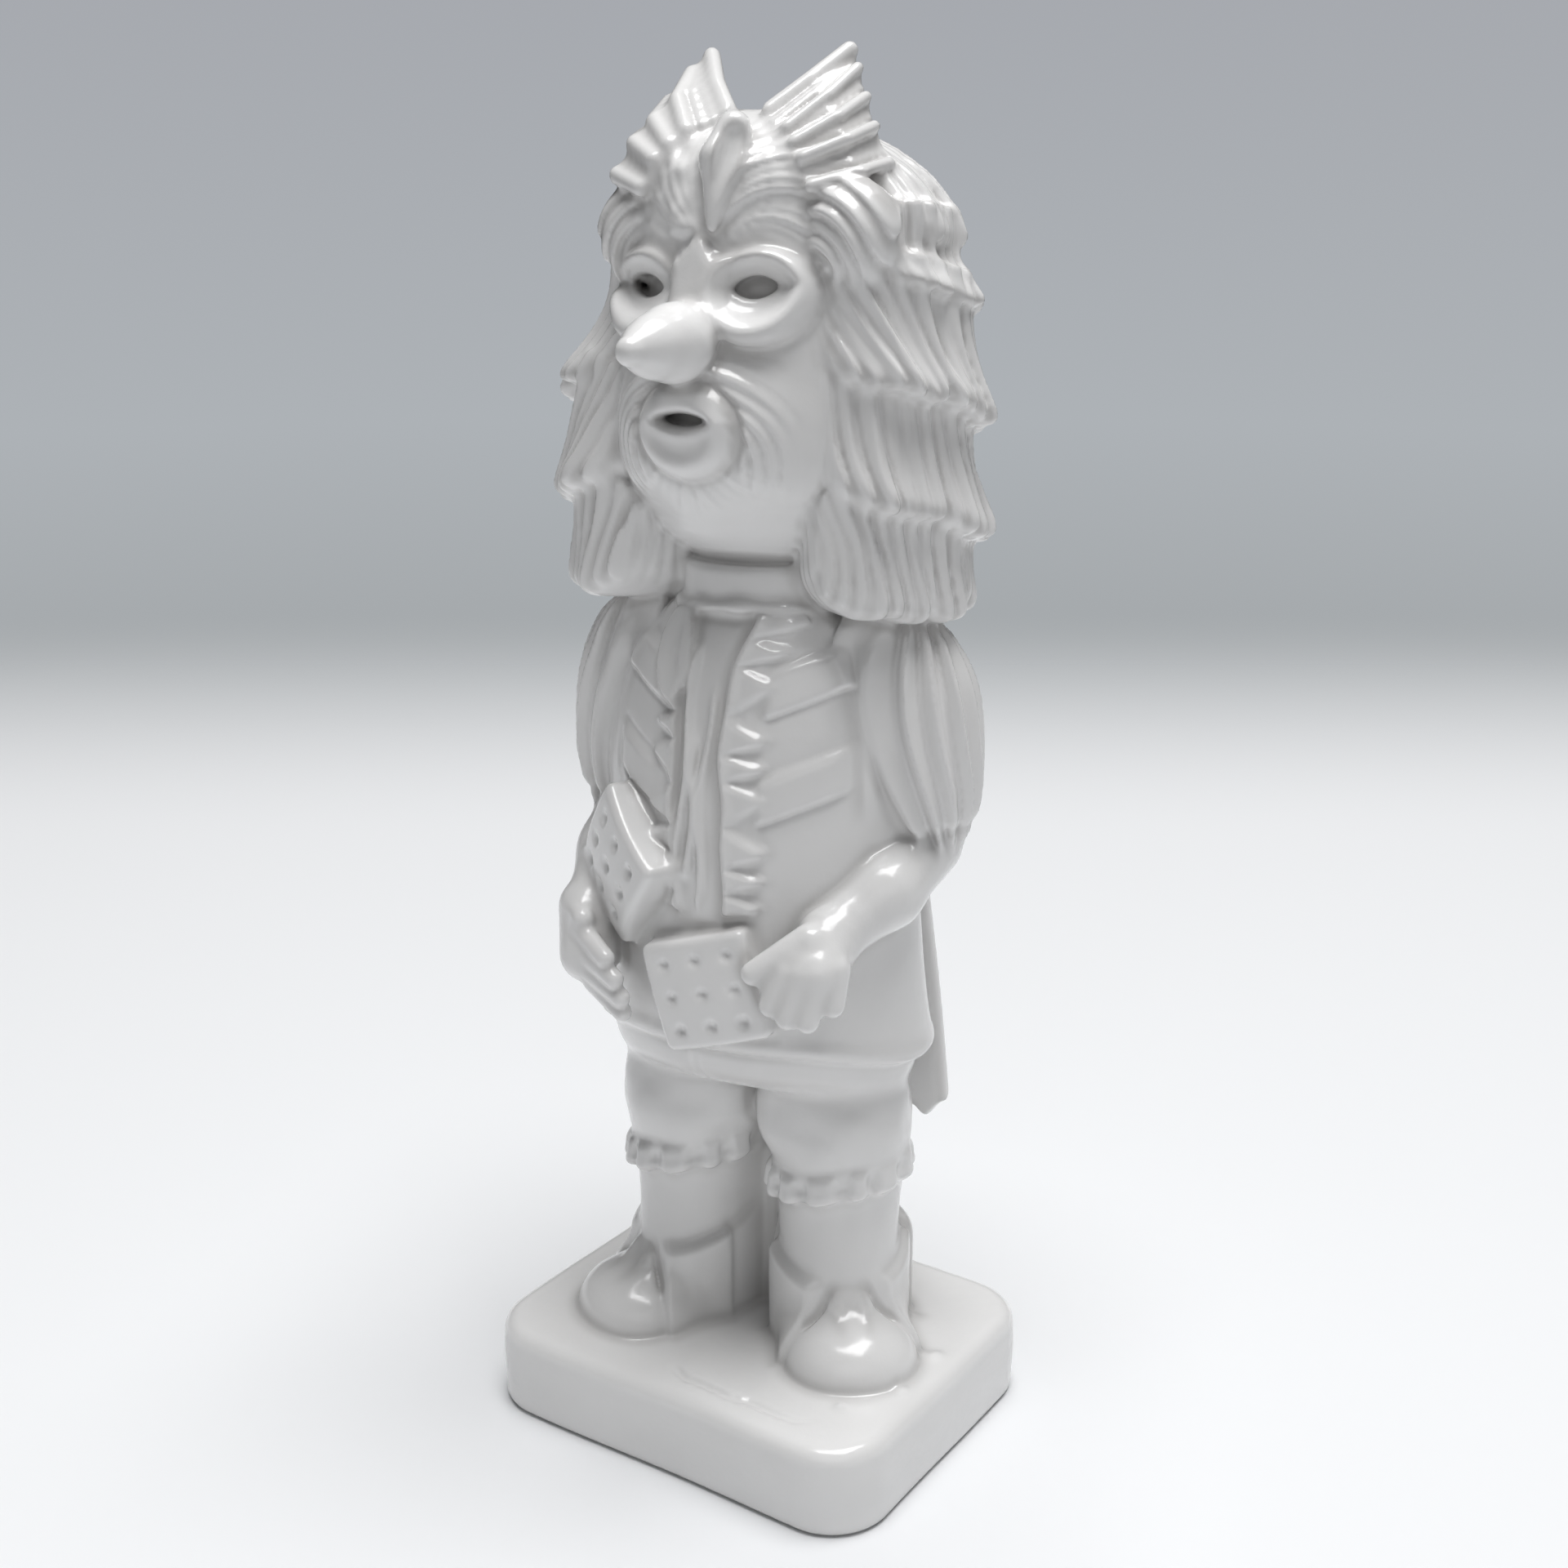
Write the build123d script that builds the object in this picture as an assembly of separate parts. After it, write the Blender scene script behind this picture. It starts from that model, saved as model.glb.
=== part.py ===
from build123d import *
import math
import os

# Glazed casting of a masked carnival figure on a plinth, in millimetres, +Z up, front towards -Y.
# The origin is the middle of the plinth's underside.

# Plinth
plinth_width = 88.0
plinth_depth = 70.3
plinth_height = 17.4
plinth_corner = 12.4
plinth_top_round = 2.6
plinth_foot_round = 0.8

# How the figure stands on the plinth: where its own axis is, and how far it is turned
figure_x = 0.5
figure_y = 2.0
figure_turn = 8.0

# Legs and shoes; heights count from the plinth's top
leg_spacing = 32.0
leg_length = 51.0
stocking_radius = 11.6
breeches_radius = 14.4
breeches_seat_radius = 14.6
web_front = 1.0
web_back = 6.0
cuff_middle = 33.6
cuff_height = 8.6
cuff_radius = 14.4
cuff_round = 2.8
cuff_gathers = 13
gather_radius = 1.5
gather_height = 4.0
shoe_splay = 34.0
shoe_reach = 13.5
shoe_height = 21.0
shaft_wall = 1.8
toe_radius = 12.6
toe_height = 11.0
heel_radius = 12.6
welt_height = 6.5
welt_round = 2.0

# Shirt band that shows under the tunic's hem
band_drop = 9.5
band_half_width = 28.5
band_half_depth = 21.5
band_round = 4.5
band_tuck = 3.0

# Tunic; heights count from the hem
tunic_height = 84.0
hem_half_width = 33.0
hem_half_depth = 25.2
waist_height = 24.0
waist_half_width = 30.0
waist_half_depth = 24.4
belly_height = 44.0
belly_half_width = 28.6
belly_half_depth = 23.4
chest_height = 64.0
chest_half_width = 27.0
chest_half_depth = 20.0
shoulder_height = 76.0
shoulder_half_width = 23.5
shoulder_half_depth = 16.8
throat_half_width = 15.0
throat_half_depth = 13.4

# Hollow of the casting: core, drain between core and head, and vent between the legs
core_diameter = 24.0
core_roof = 12.0
drain_diameter = 8.0
vent_diameter = 5.0
vent_setback = 9.0
slip_gap = 0.15

# Front of the tunic; heights count from the hem
placket_half_width = 3.6
placket_thickness = 1.5
placket_foot = 29.0
placket_head = 80.0
ruffle_thickness = 2.2
ruffle_width = 5.6
ruffle_foot = 31.0
ruffle_head = 79.0
ruffle_scallops = 8
scallop_radius = 2.6

# Pleated drape down the back; heights count from the hem
drape_top = 74.0
drape_drop = 25.0
drape_top_half_width = 17.0
drape_foot_half_width = 29.0
drape_thickness = 5.0
drape_pleats = 7
pleat_depth = 1.6

# Arms; heights count from the hem
arm_spread = 31.0
arm_setback = 3.5
sleeve_middle = 60.0
sleeve_half_length = 21.5
sleeve_half_width = 10.6
sleeve_half_depth = 11.6
sleeve_lean = 8.0
elbow_height = 38.0
elbow_radius = 7.8
wrist_radius = 6.0
left_wrist_x = 21.8
left_wrist_height = 30.0
right_wrist_x = -24.6
right_wrist_height = 25.0

# Hands: the left one hangs over its board's edge, the right one is closed under its board
hand_root_radius = 4.8
palm_radius = 5.4
palm_lift = 3.6
left_knuckle_x = 20.6
left_knuckle_height = 21.6
right_knuckle_x = -22.5
right_knuckle_height = 19.5
finger_count = 4
finger_radius = 2.0
finger_length = 8.5
finger_pitch = 3.3
finger_lift = 2.6
thumb_length = 11.0

# Carders: square toothed boards held against the belly; heights count from the hem
board_side = 20.0
board_thickness = 5.6
board_corner = 2.2
board_bed = 1.2
tooth_rows = 3
tooth_pitch = 6.2
tooth_diameter = 1.6
tooth_depth = 1.4
left_board_x = 1.2
left_board_height = 17.1
left_board_roll = 15.6
right_board_x = -17.5
right_board_height = 35.0
right_board_roll = -37.0

# Head and neck; heights count from the chin
neck_radius = 11.0
neck_gap = 7.0
neck_seat = 6.0
head_height = 75.0
chin_half_width = 15.0
chin_half_depth = 13.0
jaw_height = 11.0
jaw_half_width = 23.0
jaw_half_depth = 19.5
mouth_height = 24.0
mouth_half_width = 25.5
mouth_half_depth = 22.4
eye_height = 46.0
eye_half_width = 25.0
eye_half_depth = 19.0
brow_height = 61.0
brow_half_width = 21.5
brow_half_depth = 15.5
poll_height = 70.0
poll_half_width = 15.5
poll_half_depth = 11.5
crown_half_width = 7.0
crown_half_depth = 5.5
collar_height = 7.6
collar_radius = 14.8
collar_bed = 1.5
collar_bead = 0.9

# Mask on the face
goggle_spread = 10.6
goggle_half_width = 11.4
goggle_half_height = 8.4
goggle_thickness = 3.2
goggle_dish = 2.0
goggle_rim = 2.6
eye_slit_half_length = 5.2
eye_slit_half_height = 2.4
bridge_half_height = 4.0
nose_height = 38.5
nose_length = 14.0
nose_bed = 3.0
nose_radius = 7.4
nose_tip_radius = 2.5
lip_half_width = 10.2
lip_half_height = 8.2
lip_thickness = 3.0
lip_rim = 2.4
lip_slit_half_length = 5.0
lip_slit_half_height = 1.5
whisker_thickness = 1.8
whisker_half_width = 17.5
whisker_half_height = 15.5
whisker_parting = 2.0
whisker_gap = 0.6

# Fleece wig: tiers from the crown down, each a flared ring that overhangs the next and is parted into
# locks by grooves that deepen towards its lip; a tilt lifts each tier's edge towards the face
wig_setback = 4.0
wig_crown_half_width = 11.0
wig_crown_half_depth = 9.0
wig_dome_drop = 8.0
wig_dome_half_width = 27.0
wig_dome_half_depth = 20.5
tier_drops = [21.5, 10.5, 19.0, 19.5, 13.5]
tier_face_angles = [70.0, 56.0, 47.0, 47.0, 47.0]
tier_neck_half_widths = [wig_crown_half_width, 33.5, 36.0, 36.5, 37.0]
tier_neck_half_depths = [wig_crown_half_depth, 25.5, 27.0, 27.5, 28.0]
tier_lip_half_widths = [35.3, 39.2, 40.7, 40.9, 37.0]
tier_lip_half_depths = [27.0, 30.0, 31.0, 31.0, 28.5]
tier_tilts = [0.0, 3.0, 5.0, 8.0, 12.0, 9.0]
lock_count = 10
lock_groove_neck = 1.0
lock_groove_lip = 2.4
fleece_thickness = 3.4
forelock_foot = 57.0
forelock_length = 12.0
forelock_radius = 3.4
forelock_tip_radius = 1.2
tuft_spread = 20.5
tuft_height = 55.0
tuft_half_width = 6.0
tuft_half_depth = 7.0
tuft_half_height = 8.0

# Wings on the crown; feathers fan out from a hinge in the fleece
feather_count = 5
feather_root_radius = 2.0
feather_tip_radius = 3.0
feather_first_angle = 2.0
feather_last_angle = 61.0
feather_first_length = 15.0
feather_last_length = 19.8
web_thickness = 3.2
wing_hinge_x = 10.7
wing_hinge_y = -10.5
wing_hinge_drop = 8.6
wing_yaw = 61.0
wing_tilt = 8.0

# Levels
hem_z = plinth_height + leg_length + band_drop
tunic_top = hem_z + tunic_height
chin_z = tunic_top + neck_gap
crown_z = chin_z + head_height
sides = {"left": 1, "right": -1}
reach = 200.0

tunic_sections = [
    (0.0, hem_half_width, hem_half_depth),
    (waist_height, waist_half_width, waist_half_depth),
    (belly_height, belly_half_width, belly_half_depth),
    (chest_height, chest_half_width, chest_half_depth),
    (shoulder_height, shoulder_half_width, shoulder_half_depth),
    (tunic_height, throat_half_width, throat_half_depth),
]
head_sections = [
    (0.0, chin_half_width, chin_half_depth),
    (jaw_height, jaw_half_width, jaw_half_depth),
    (mouth_height, mouth_half_width, mouth_half_depth),
    (eye_height, eye_half_width, eye_half_depth),
    (brow_height, brow_half_width, brow_half_depth),
    (poll_height, poll_half_width, poll_half_depth),
    (head_height, crown_half_width, crown_half_depth),
]


def body_of(sections, base_z, swell=0.0):
    # Smooth solid through level ellipses; swell thickens it all round
    rings = []
    for height, half_width, half_depth in sections:
        ring = Ellipse(half_width + swell, half_depth + swell)
        rings.append(Pos(0, 0, base_z + height) * ring)
    return loft(rings)


def front_of(sections, x, height):
    # Depth of such a solid's front at x, and the direction it faces there
    for lower, upper in zip(sections, sections[1:]):
        if lower[0] <= height <= upper[0]:
            break
    share = (height - lower[0]) / (upper[0] - lower[0])
    half_width = lower[1] + share * (upper[1] - lower[1])
    half_depth = lower[2] + share * (upper[2] - lower[2])
    y = -half_depth * math.sqrt(1 - (x / half_width) ** 2)
    facing = Vector(x / half_width ** 2, y / half_depth ** 2, 0).normalized()
    return y, facing


def swollen_tunic(swell):
    return body_of(tunic_sections, hem_z, swell)


def swollen_face(swell):
    return body_of(head_sections, chin_z, swell)


def drop(start, end, start_radius, end_radius):
    # Round-ended taper from one point to another
    start = Vector(start)
    line = Vector(end) - start
    lean = math.asin((start_radius - end_radius) / line.length)
    bend = math.sin((math.pi / 2 - lean) / 2), math.cos((math.pi / 2 - lean) / 2)
    low = (start_radius * math.cos(lean), start_radius * math.sin(lean))
    high = (end_radius * math.cos(lean), line.length + end_radius * math.sin(lean))
    low_bend = math.sin((math.pi / 2 + lean) / 2), math.cos((math.pi / 2 + lean) / 2)
    low_middle = (start_radius * low_bend[0], -start_radius * low_bend[1])
    high_middle = (end_radius * bend[0], line.length + end_radius * bend[1])
    low_end = (0, -start_radius)
    high_end = (0, line.length + end_radius)
    outline = Wire([
        ThreePointArc(low_end, low_middle, low),
        Line(low, high),
        ThreePointArc(high, high_middle, high_end),
        Line(high_end, low_end),
    ])
    profile = Plane.XZ * make_face(outline)
    return Plane(origin=start, z_dir=line) * revolve(profile, Axis.Z)


def egg(centre, half_width, half_depth, half_height, lean=0.0):
    # Ellipsoid, leaned about the front-to-back axis
    return Pos(*centre) * Rot(0, lean, 0) * scale(Sphere(1), (half_width, half_depth, half_height))


def applied(outline, inner, outer):
    # Low relief on a body's front: the skin between two solids inside an outline seen from the front
    return (extrude(Plane.XZ * outline, reach) & outer) - inner


def clear_of(piece, *others):
    # The piece with its neighbours' room taken out of it
    for other in others:
        piece = piece - other
    return max(piece.solids(), key=lambda solid: solid.volume)


torso = body_of(tunic_sections, hem_z)
face = body_of(head_sections, chin_z)


def make_plinth():
    slab = extrude(RectangleRounded(plinth_width, plinth_depth, plinth_corner), plinth_height)
    slab = fillet(slab.faces().sort_by(Axis.Z)[-1].edges(), plinth_top_round)
    return fillet(slab.faces().sort_by(Axis.Z)[0].edges(), plinth_foot_round)


def make_leg(side):
    # Stocking up to the knee, then full breeches up to the seat
    knee = cuff_middle + cuff_height / 2
    seat = leg_length + band_round
    fullest = (knee + leg_length) / 2
    outline = Polyline(
        (stocking_radius, knee), (stocking_radius, 0), (0, 0), (0, seat), (breeches_seat_radius, seat),
    )
    swell = Spline((breeches_seat_radius, seat), (breeches_radius, fullest), (stocking_radius, knee))
    profile = Plane.XZ * make_face(outline + swell)
    leg = Pos(side * leg_spacing / 2, 0, plinth_height) * revolve(profile, Axis.Z)
    # Half of the web of clay that closes the gap to the other leg
    web = Box(leg_spacing / 2, web_back - web_front, leg_length)
    return leg + Pos(side * leg_spacing / 4, (web_front + web_back) / 2, plinth_height + leg_length / 2) * web


def make_cuff(side):
    # Gathered frill that closes the breeches below the knee
    frill = Cylinder(cuff_radius, cuff_height)
    frill = fillet(frill.edges().filter_by(GeomType.CIRCLE), cuff_round)
    crease = Pos(cuff_radius, 0, 0) * Cylinder(gather_radius, gather_height)
    frill = frill - PolarLocations(0, cuff_gathers) * crease
    return Pos(side * leg_spacing / 2, 0, plinth_height + cuff_middle) * frill


def make_shoe(side):
    toe = Pos(0, -shoe_reach)
    plan = make_hull(Circle(heel_radius).edges() + (toe * Circle(toe_radius)).edges())
    welt = extrude(plan, welt_height)
    welt = fillet(welt.faces().sort_by(Axis.Z)[-1].edges(), welt_round)
    cap = Pos(0, -shoe_reach, 0) * scale(Sphere(1), (toe_radius, toe_radius, toe_height))
    shaft = Pos(0, 0, shoe_height / 2) * Cone(
        heel_radius + shaft_wall, stocking_radius + shaft_wall, shoe_height
    )
    shoe = (welt + cap + shaft) & Pos(0, 0, reach / 2) * Box(reach, reach, reach)
    return Pos(side * leg_spacing / 2, 0, plinth_height) * Rot(0, 0, side * shoe_splay) * shoe


def make_band():
    height = band_drop + band_tuck
    band = extrude(Ellipse(band_half_width, band_half_depth), height)
    band = fillet(band.faces().sort_by(Axis.Z)[0].edges(), band_round)
    vent = Pos(0, vent_setback, height / 2) * Cylinder(vent_diameter / 2, height)
    return Pos(0, 0, hem_z - band_drop) * (band - vent)


def make_tunic(band):
    core_foot = hem_z + band_tuck
    core_top = tunic_top - neck_seat - core_roof
    core = Pos(0, 0, (core_foot + core_top) / 2) * Cylinder(core_diameter / 2, core_top - core_foot)
    socket_foot = tunic_top - neck_seat - slip_gap
    socket = Pos(0, 0, (socket_foot + tunic_top) / 2)
    socket = socket * Cylinder(neck_radius + slip_gap, tunic_top - socket_foot)
    drain = Pos(0, 0, (core_top + socket_foot) / 2)
    drain = drain * Cylinder(drain_diameter / 2, socket_foot - core_top)
    return clear_of(torso, band, core, socket, drain)


def make_placket():
    height = placket_head - placket_foot
    outline = Pos(0, hem_z + placket_foot + height / 2) * Rectangle(2 * placket_half_width, height)
    return applied(outline, torso, swollen_tunic(placket_thickness))


def make_ruffle(side):
    # Frill beside the placket, scalloped along its free edge
    height = ruffle_head - ruffle_foot
    middle = placket_half_width + ruffle_width / 2
    outline = Pos(side * middle, hem_z + ruffle_foot + height / 2) * Rectangle(ruffle_width, height)
    step = height / ruffle_scallops
    edge = side * (placket_half_width + ruffle_width)
    for count in range(ruffle_scallops):
        level = hem_z + ruffle_foot + (count + 0.5) * step
        outline = outline + Pos(edge, level) * Circle(scallop_radius)
    return applied(outline, torso, swollen_tunic(ruffle_thickness))


def make_drape():
    # Cloth down the back, widening to its foot, with rounded pleats on the outside
    top = hem_z + drape_top
    foot = hem_z - drape_drop
    back = hem_half_depth + drape_thickness
    inner = hem_half_depth - drape_thickness
    head_back = front_of(tunic_sections, 0, drape_top)[0]
    side_view = Polyline(
        (-head_back, top), (drape_thickness - head_back, top), (back, hem_z), (back, foot),
        (inner, foot), (inner, hem_z), close=True,
    )
    slab = extrude(Plane.YZ * make_face(side_view), drape_foot_half_width, both=True)
    shape = Polyline(
        (-drape_top_half_width, top), (drape_top_half_width, top),
        (drape_foot_half_width, foot), (-drape_foot_half_width, foot), close=True,
    )
    slab = slab & extrude(Plane.XZ * make_face(shape), reach, both=True)
    spread = 2 * drape_foot_half_width / drape_pleats
    for count in range(drape_pleats - 1):
        x = -drape_foot_half_width + (count + 1) * spread
        share = drape_top_half_width / drape_foot_half_width
        outer_foot = Vector(x, back, foot - drape_thickness)
        outer_hem = Vector(x, back, hem_z)
        outer_top = Vector(x * share, drape_thickness - head_back, top + drape_thickness)
        slab = slab - drop(outer_foot, outer_hem, pleat_depth, pleat_depth)
        slab = slab - drop(outer_hem, outer_top, pleat_depth, pleat_depth)
    return slab


def on_belly(x, height, lift):
    # Point that stands off the tunic's front
    y, facing = front_of(tunic_sections, x, height)
    return Vector(x, y, hem_z + height) + facing * lift


def make_sleeve(side):
    centre = (side * arm_spread, arm_setback, hem_z + sleeve_middle)
    return egg(centre, sleeve_half_width, sleeve_half_depth, sleeve_half_length, -side * sleeve_lean)


def make_forearm(side, wrist):
    elbow = Vector(side * arm_spread, arm_setback, hem_z + elbow_height)
    return drop(elbow, wrist, elbow_radius, wrist_radius)


def board_seat(x, height, roll):
    # Frame on the belly at a board's middle, facing out of the belly
    y, facing = front_of(tunic_sections, x, height)
    across = Vector(-facing.Y, facing.X, 0)
    return Plane(origin=(x, y, hem_z + height), x_dir=across, z_dir=facing) * Rot(0, 0, roll)


def make_board(x, height, roll):
    board = extrude(RectangleRounded(board_side, board_side, board_corner), board_thickness)
    tooth = Pos(0, 0, board_thickness) * Cylinder(tooth_diameter / 2, 2 * tooth_depth)
    board = board - GridLocations(tooth_pitch, tooth_pitch, tooth_rows, tooth_rows) * tooth
    return board_seat(x, height, roll) * Pos(0, 0, -board_bed) * board


def make_left_hand(wrist):
    # Open hand: palm down from the wrist, fingers side by side, thumb along the board's top
    knuckles = on_belly(left_knuckle_x, left_knuckle_height, palm_lift)
    hand = drop(wrist, knuckles, hand_root_radius, palm_radius)
    for count in range(finger_count):
        x = left_knuckle_x + (count - (finger_count - 1) / 2) * finger_pitch
        root = on_belly(x, left_knuckle_height, palm_lift)
        tip = on_belly(x, left_knuckle_height - finger_length, finger_lift)
        hand = hand + drop(root, tip, finger_radius, finger_radius)
    thumb_height = (left_wrist_height + left_knuckle_height) / 2
    root = on_belly(left_knuckle_x, thumb_height, palm_lift)
    tip = on_belly(left_knuckle_x - thumb_length, thumb_height, palm_lift + finger_lift)
    return hand + drop(root, tip, finger_radius, finger_radius)


def make_right_hand(wrist):
    # Closed hand: fingers one above the other, pointing across the belly
    knuckles = on_belly(right_knuckle_x, right_knuckle_height, palm_lift)
    hand = drop(wrist, knuckles, hand_root_radius, palm_radius)
    for count in range(finger_count):
        height = right_knuckle_height + (count - (finger_count - 1) / 2) * finger_pitch
        root = on_belly(right_knuckle_x, height, palm_lift)
        tip = on_belly(right_knuckle_x + finger_length, height, finger_lift)
        hand = hand + drop(root, tip, finger_radius, finger_radius)
    return hand


def make_head():
    neck_foot = tunic_top - neck_seat
    neck_top = chin_z + jaw_height
    neck = Pos(0, 0, (neck_foot + neck_top) / 2) * Cylinder(neck_radius, neck_top - neck_foot)
    core_foot = chin_z + jaw_height
    core_top = chin_z + brow_height
    core = egg((0, 0, (core_foot + core_top) / 2), core_diameter / 2, core_diameter / 2,
               (core_top - core_foot) / 2)
    drain_top = core_foot + core_diameter / 2
    drain = Pos(0, 0, (neck_foot + drain_top) / 2) * Cylinder(drain_diameter / 2, drain_top - neck_foot)
    return clear_of(face + neck, core, drain)


def make_collar(head, tunic):
    collar_foot = tunic_top - collar_bed
    band = Pos(0, 0, collar_foot + collar_height / 2) * Cylinder(collar_radius, collar_height)
    bead = Pos(0, 0, collar_foot + collar_bead) * Torus(collar_radius, collar_bead)
    return clear_of(band + bead, head, tunic)


def make_goggles():
    skin = swollen_face(goggle_thickness)
    level = chin_z + eye_height
    outline = Pos(0, level) * Rectangle(2 * goggle_spread, 2 * bridge_half_height)
    for side in sides.values():
        lens = Ellipse(goggle_half_width, goggle_half_height)
        outline = outline + Pos(side * goggle_spread, level) * lens
    goggles = applied(outline, face, skin)
    for side in sides.values():
        x = side * goggle_spread
        y, facing = front_of(head_sections, x, eye_height)
        rim_face = Vector(x, y, level) + facing * goggle_thickness
        place = Plane(origin=rim_face, x_dir=Vector(-facing.Y, facing.X, 0), z_dir=facing)
        dish_half_width = goggle_half_width - goggle_rim
        dish_half_height = goggle_half_height - goggle_rim
        dish = scale(Sphere(1), (dish_half_width, dish_half_height, goggle_dish))
        slit = extrude(Ellipse(eye_slit_half_length, eye_slit_half_height), goggle_thickness, both=True)
        goggles = goggles - place * dish - place * slit
    return goggles


def make_nose(head, goggles):
    y = front_of(head_sections, 0, nose_height)[0] + nose_bed
    root = Vector(0, y - nose_radius, chin_z + nose_height)
    nose = drop(root, root - Vector(0, nose_length, 0), nose_radius, nose_tip_radius)
    return clear_of(nose, head, goggles)


def make_lips():
    skin = swollen_face(lip_thickness)
    level = chin_z + mouth_height
    lips = applied(Pos(0, level) * Ellipse(lip_half_width, lip_half_height), face, skin)
    y = front_of(head_sections, 0, mouth_height)[0] - lip_thickness
    dish = scale(Sphere(1), (lip_half_width - lip_rim, lip_thickness / 2, lip_half_height - lip_rim))
    slit = Plane.XZ * Ellipse(lip_slit_half_length, lip_slit_half_height)
    slit = extrude(slit, lip_thickness, both=True)
    return lips - Pos(0, y, level) * dish - Pos(0, y, level) * slit


def make_whisker(side, *others):
    # Half of a crescent that hangs from under the nose round the mouth
    crescent = Ellipse(whisker_half_width, whisker_half_height)
    crescent = crescent - Ellipse(lip_half_width + whisker_gap, lip_half_height + whisker_gap)
    half = Pos(side * (whisker_parting + reach / 2), 0) * Rectangle(reach, reach)
    outline = Pos(0, chin_z + mouth_height) * (crescent & half)
    return clear_of(applied(outline, face, swollen_face(whisker_thickness)), *others)


def face_wedge(half_angle):
    # Room in front of the face that the wig leaves open
    half = reach * math.tan(math.radians(half_angle))
    far = wig_setback - reach
    plan = Polyline((0, wig_setback), (half, far), (-half, far), close=True)
    return extrude(make_face(plan), 2 * reach)


def tier_ring(drop_down, tilt):
    # Where a ring of the wig lies: its middle, with the front edge lifted
    return Pos(0, wig_setback, crown_z - drop_down) * Rot(-tilt, 0, 0)


def lock_grooves(first_angle, neck, lip):
    # Grooves down the outside of a tier, spread from one edge of the face round to the other
    step = (360 - 2 * first_angle) / lock_count
    grooves = []
    for lock in range(1, lock_count):
        angle = math.radians(first_angle + lock * step)
        ends = []
        for place, half_width, half_depth in (neck, lip):
            spot = place * Pos(half_width * math.sin(angle), -half_depth * math.cos(angle), 0)
            ends.append(spot.position)
        grooves.append(drop(*ends, lock_groove_neck, lock_groove_lip))
    return grooves


def make_tier(count, *others):
    top = sum(tier_drops[:count])
    neck = (tier_ring(top, tier_tilts[count]), tier_neck_half_widths[count], tier_neck_half_depths[count])
    foot = tier_ring(top + tier_drops[count], tier_tilts[count + 1])
    lip = (foot, tier_lip_half_widths[count], tier_lip_half_depths[count])
    rings = [neck, lip]
    if count == 0:
        rings.insert(1, (tier_ring(wig_dome_drop, 0), wig_dome_half_width, wig_dome_half_depth))
    tier = loft([place * Ellipse(half_width, half_depth) for place, half_width, half_depth in rings])
    grooves = lock_grooves(tier_face_angles[count], rings[-2], lip)
    return clear_of(tier, face_wedge(tier_face_angles[count]), *others, *grooves)


def make_tuft(side, *others):
    # Swirl of fleece beside the goggles, under the wing
    y = front_of(head_sections, tuft_spread, tuft_height)[0]
    centre = (side * tuft_spread, y, chin_z + tuft_height)
    tuft = egg(centre, tuft_half_width, tuft_half_depth, tuft_half_height)
    return clear_of(tuft, *others)


def make_fleece(*others):
    # Combed fleece on the brow, between the goggles and the crown
    skin = swollen_face(fleece_thickness)
    foot = eye_height + goggle_half_height
    height = head_height - foot
    outline = Pos(0, chin_z + foot + height / 2) * Rectangle(2 * brow_half_width, height)
    return clear_of(applied(outline, face, skin), *others)


def on_fleece(height):
    # Point on the brow fleece, in the middle of the face
    y = front_of(head_sections, 0, height)[0] - fleece_thickness
    return Vector(0, y, chin_z + height)


def make_forelock(*others):
    tip = on_fleece(forelock_foot)
    root = on_fleece(forelock_foot + forelock_length)
    return clear_of(drop(root, tip, forelock_radius, forelock_tip_radius), *others)


def wing_place(side, shape):
    # Puts a shape drawn in the right-hand wing's plane on the crown
    stand = Pos(wing_hinge_x, wing_hinge_y, crown_z - wing_hinge_drop)
    placed = stand * Rot(0, 0, wing_yaw) * Rot(90 - wing_tilt, 0, 0) * shape
    return placed if side > 0 else mirror(placed, Plane.YZ)


def feather_tip(count):
    share = count / (feather_count - 1)
    angle = math.radians(feather_first_angle + share * (feather_last_angle - feather_first_angle))
    length = feather_first_length + share * (feather_last_length - feather_first_length)
    return length * math.cos(angle), length * math.sin(angle)


def make_wing(side, *others):
    # Feathers on a thin web, fanned in a plane that faces out and forward
    tips = [feather_tip(count) for count in range(feather_count)]
    wing = extrude(make_face(Polyline((0, 0), *tips, close=True)), web_thickness / 2, both=True)
    for tip in tips:
        wing = wing + drop((0, 0, 0), (*tip, 0), feather_root_radius, feather_tip_radius)
    return clear_of(wing_place(side, wing), *others)


def wing_room(side):
    # Clear space on the outer side of a wing, so that the fleece lies behind it
    wide = feather_last_length + 2 * feather_tip_radius
    plan = Pos(wide / 2 - feather_tip_radius, wide / 2 - feather_tip_radius) * Rectangle(wide, wide)
    return wing_place(side, extrude(plan, reach))


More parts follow.
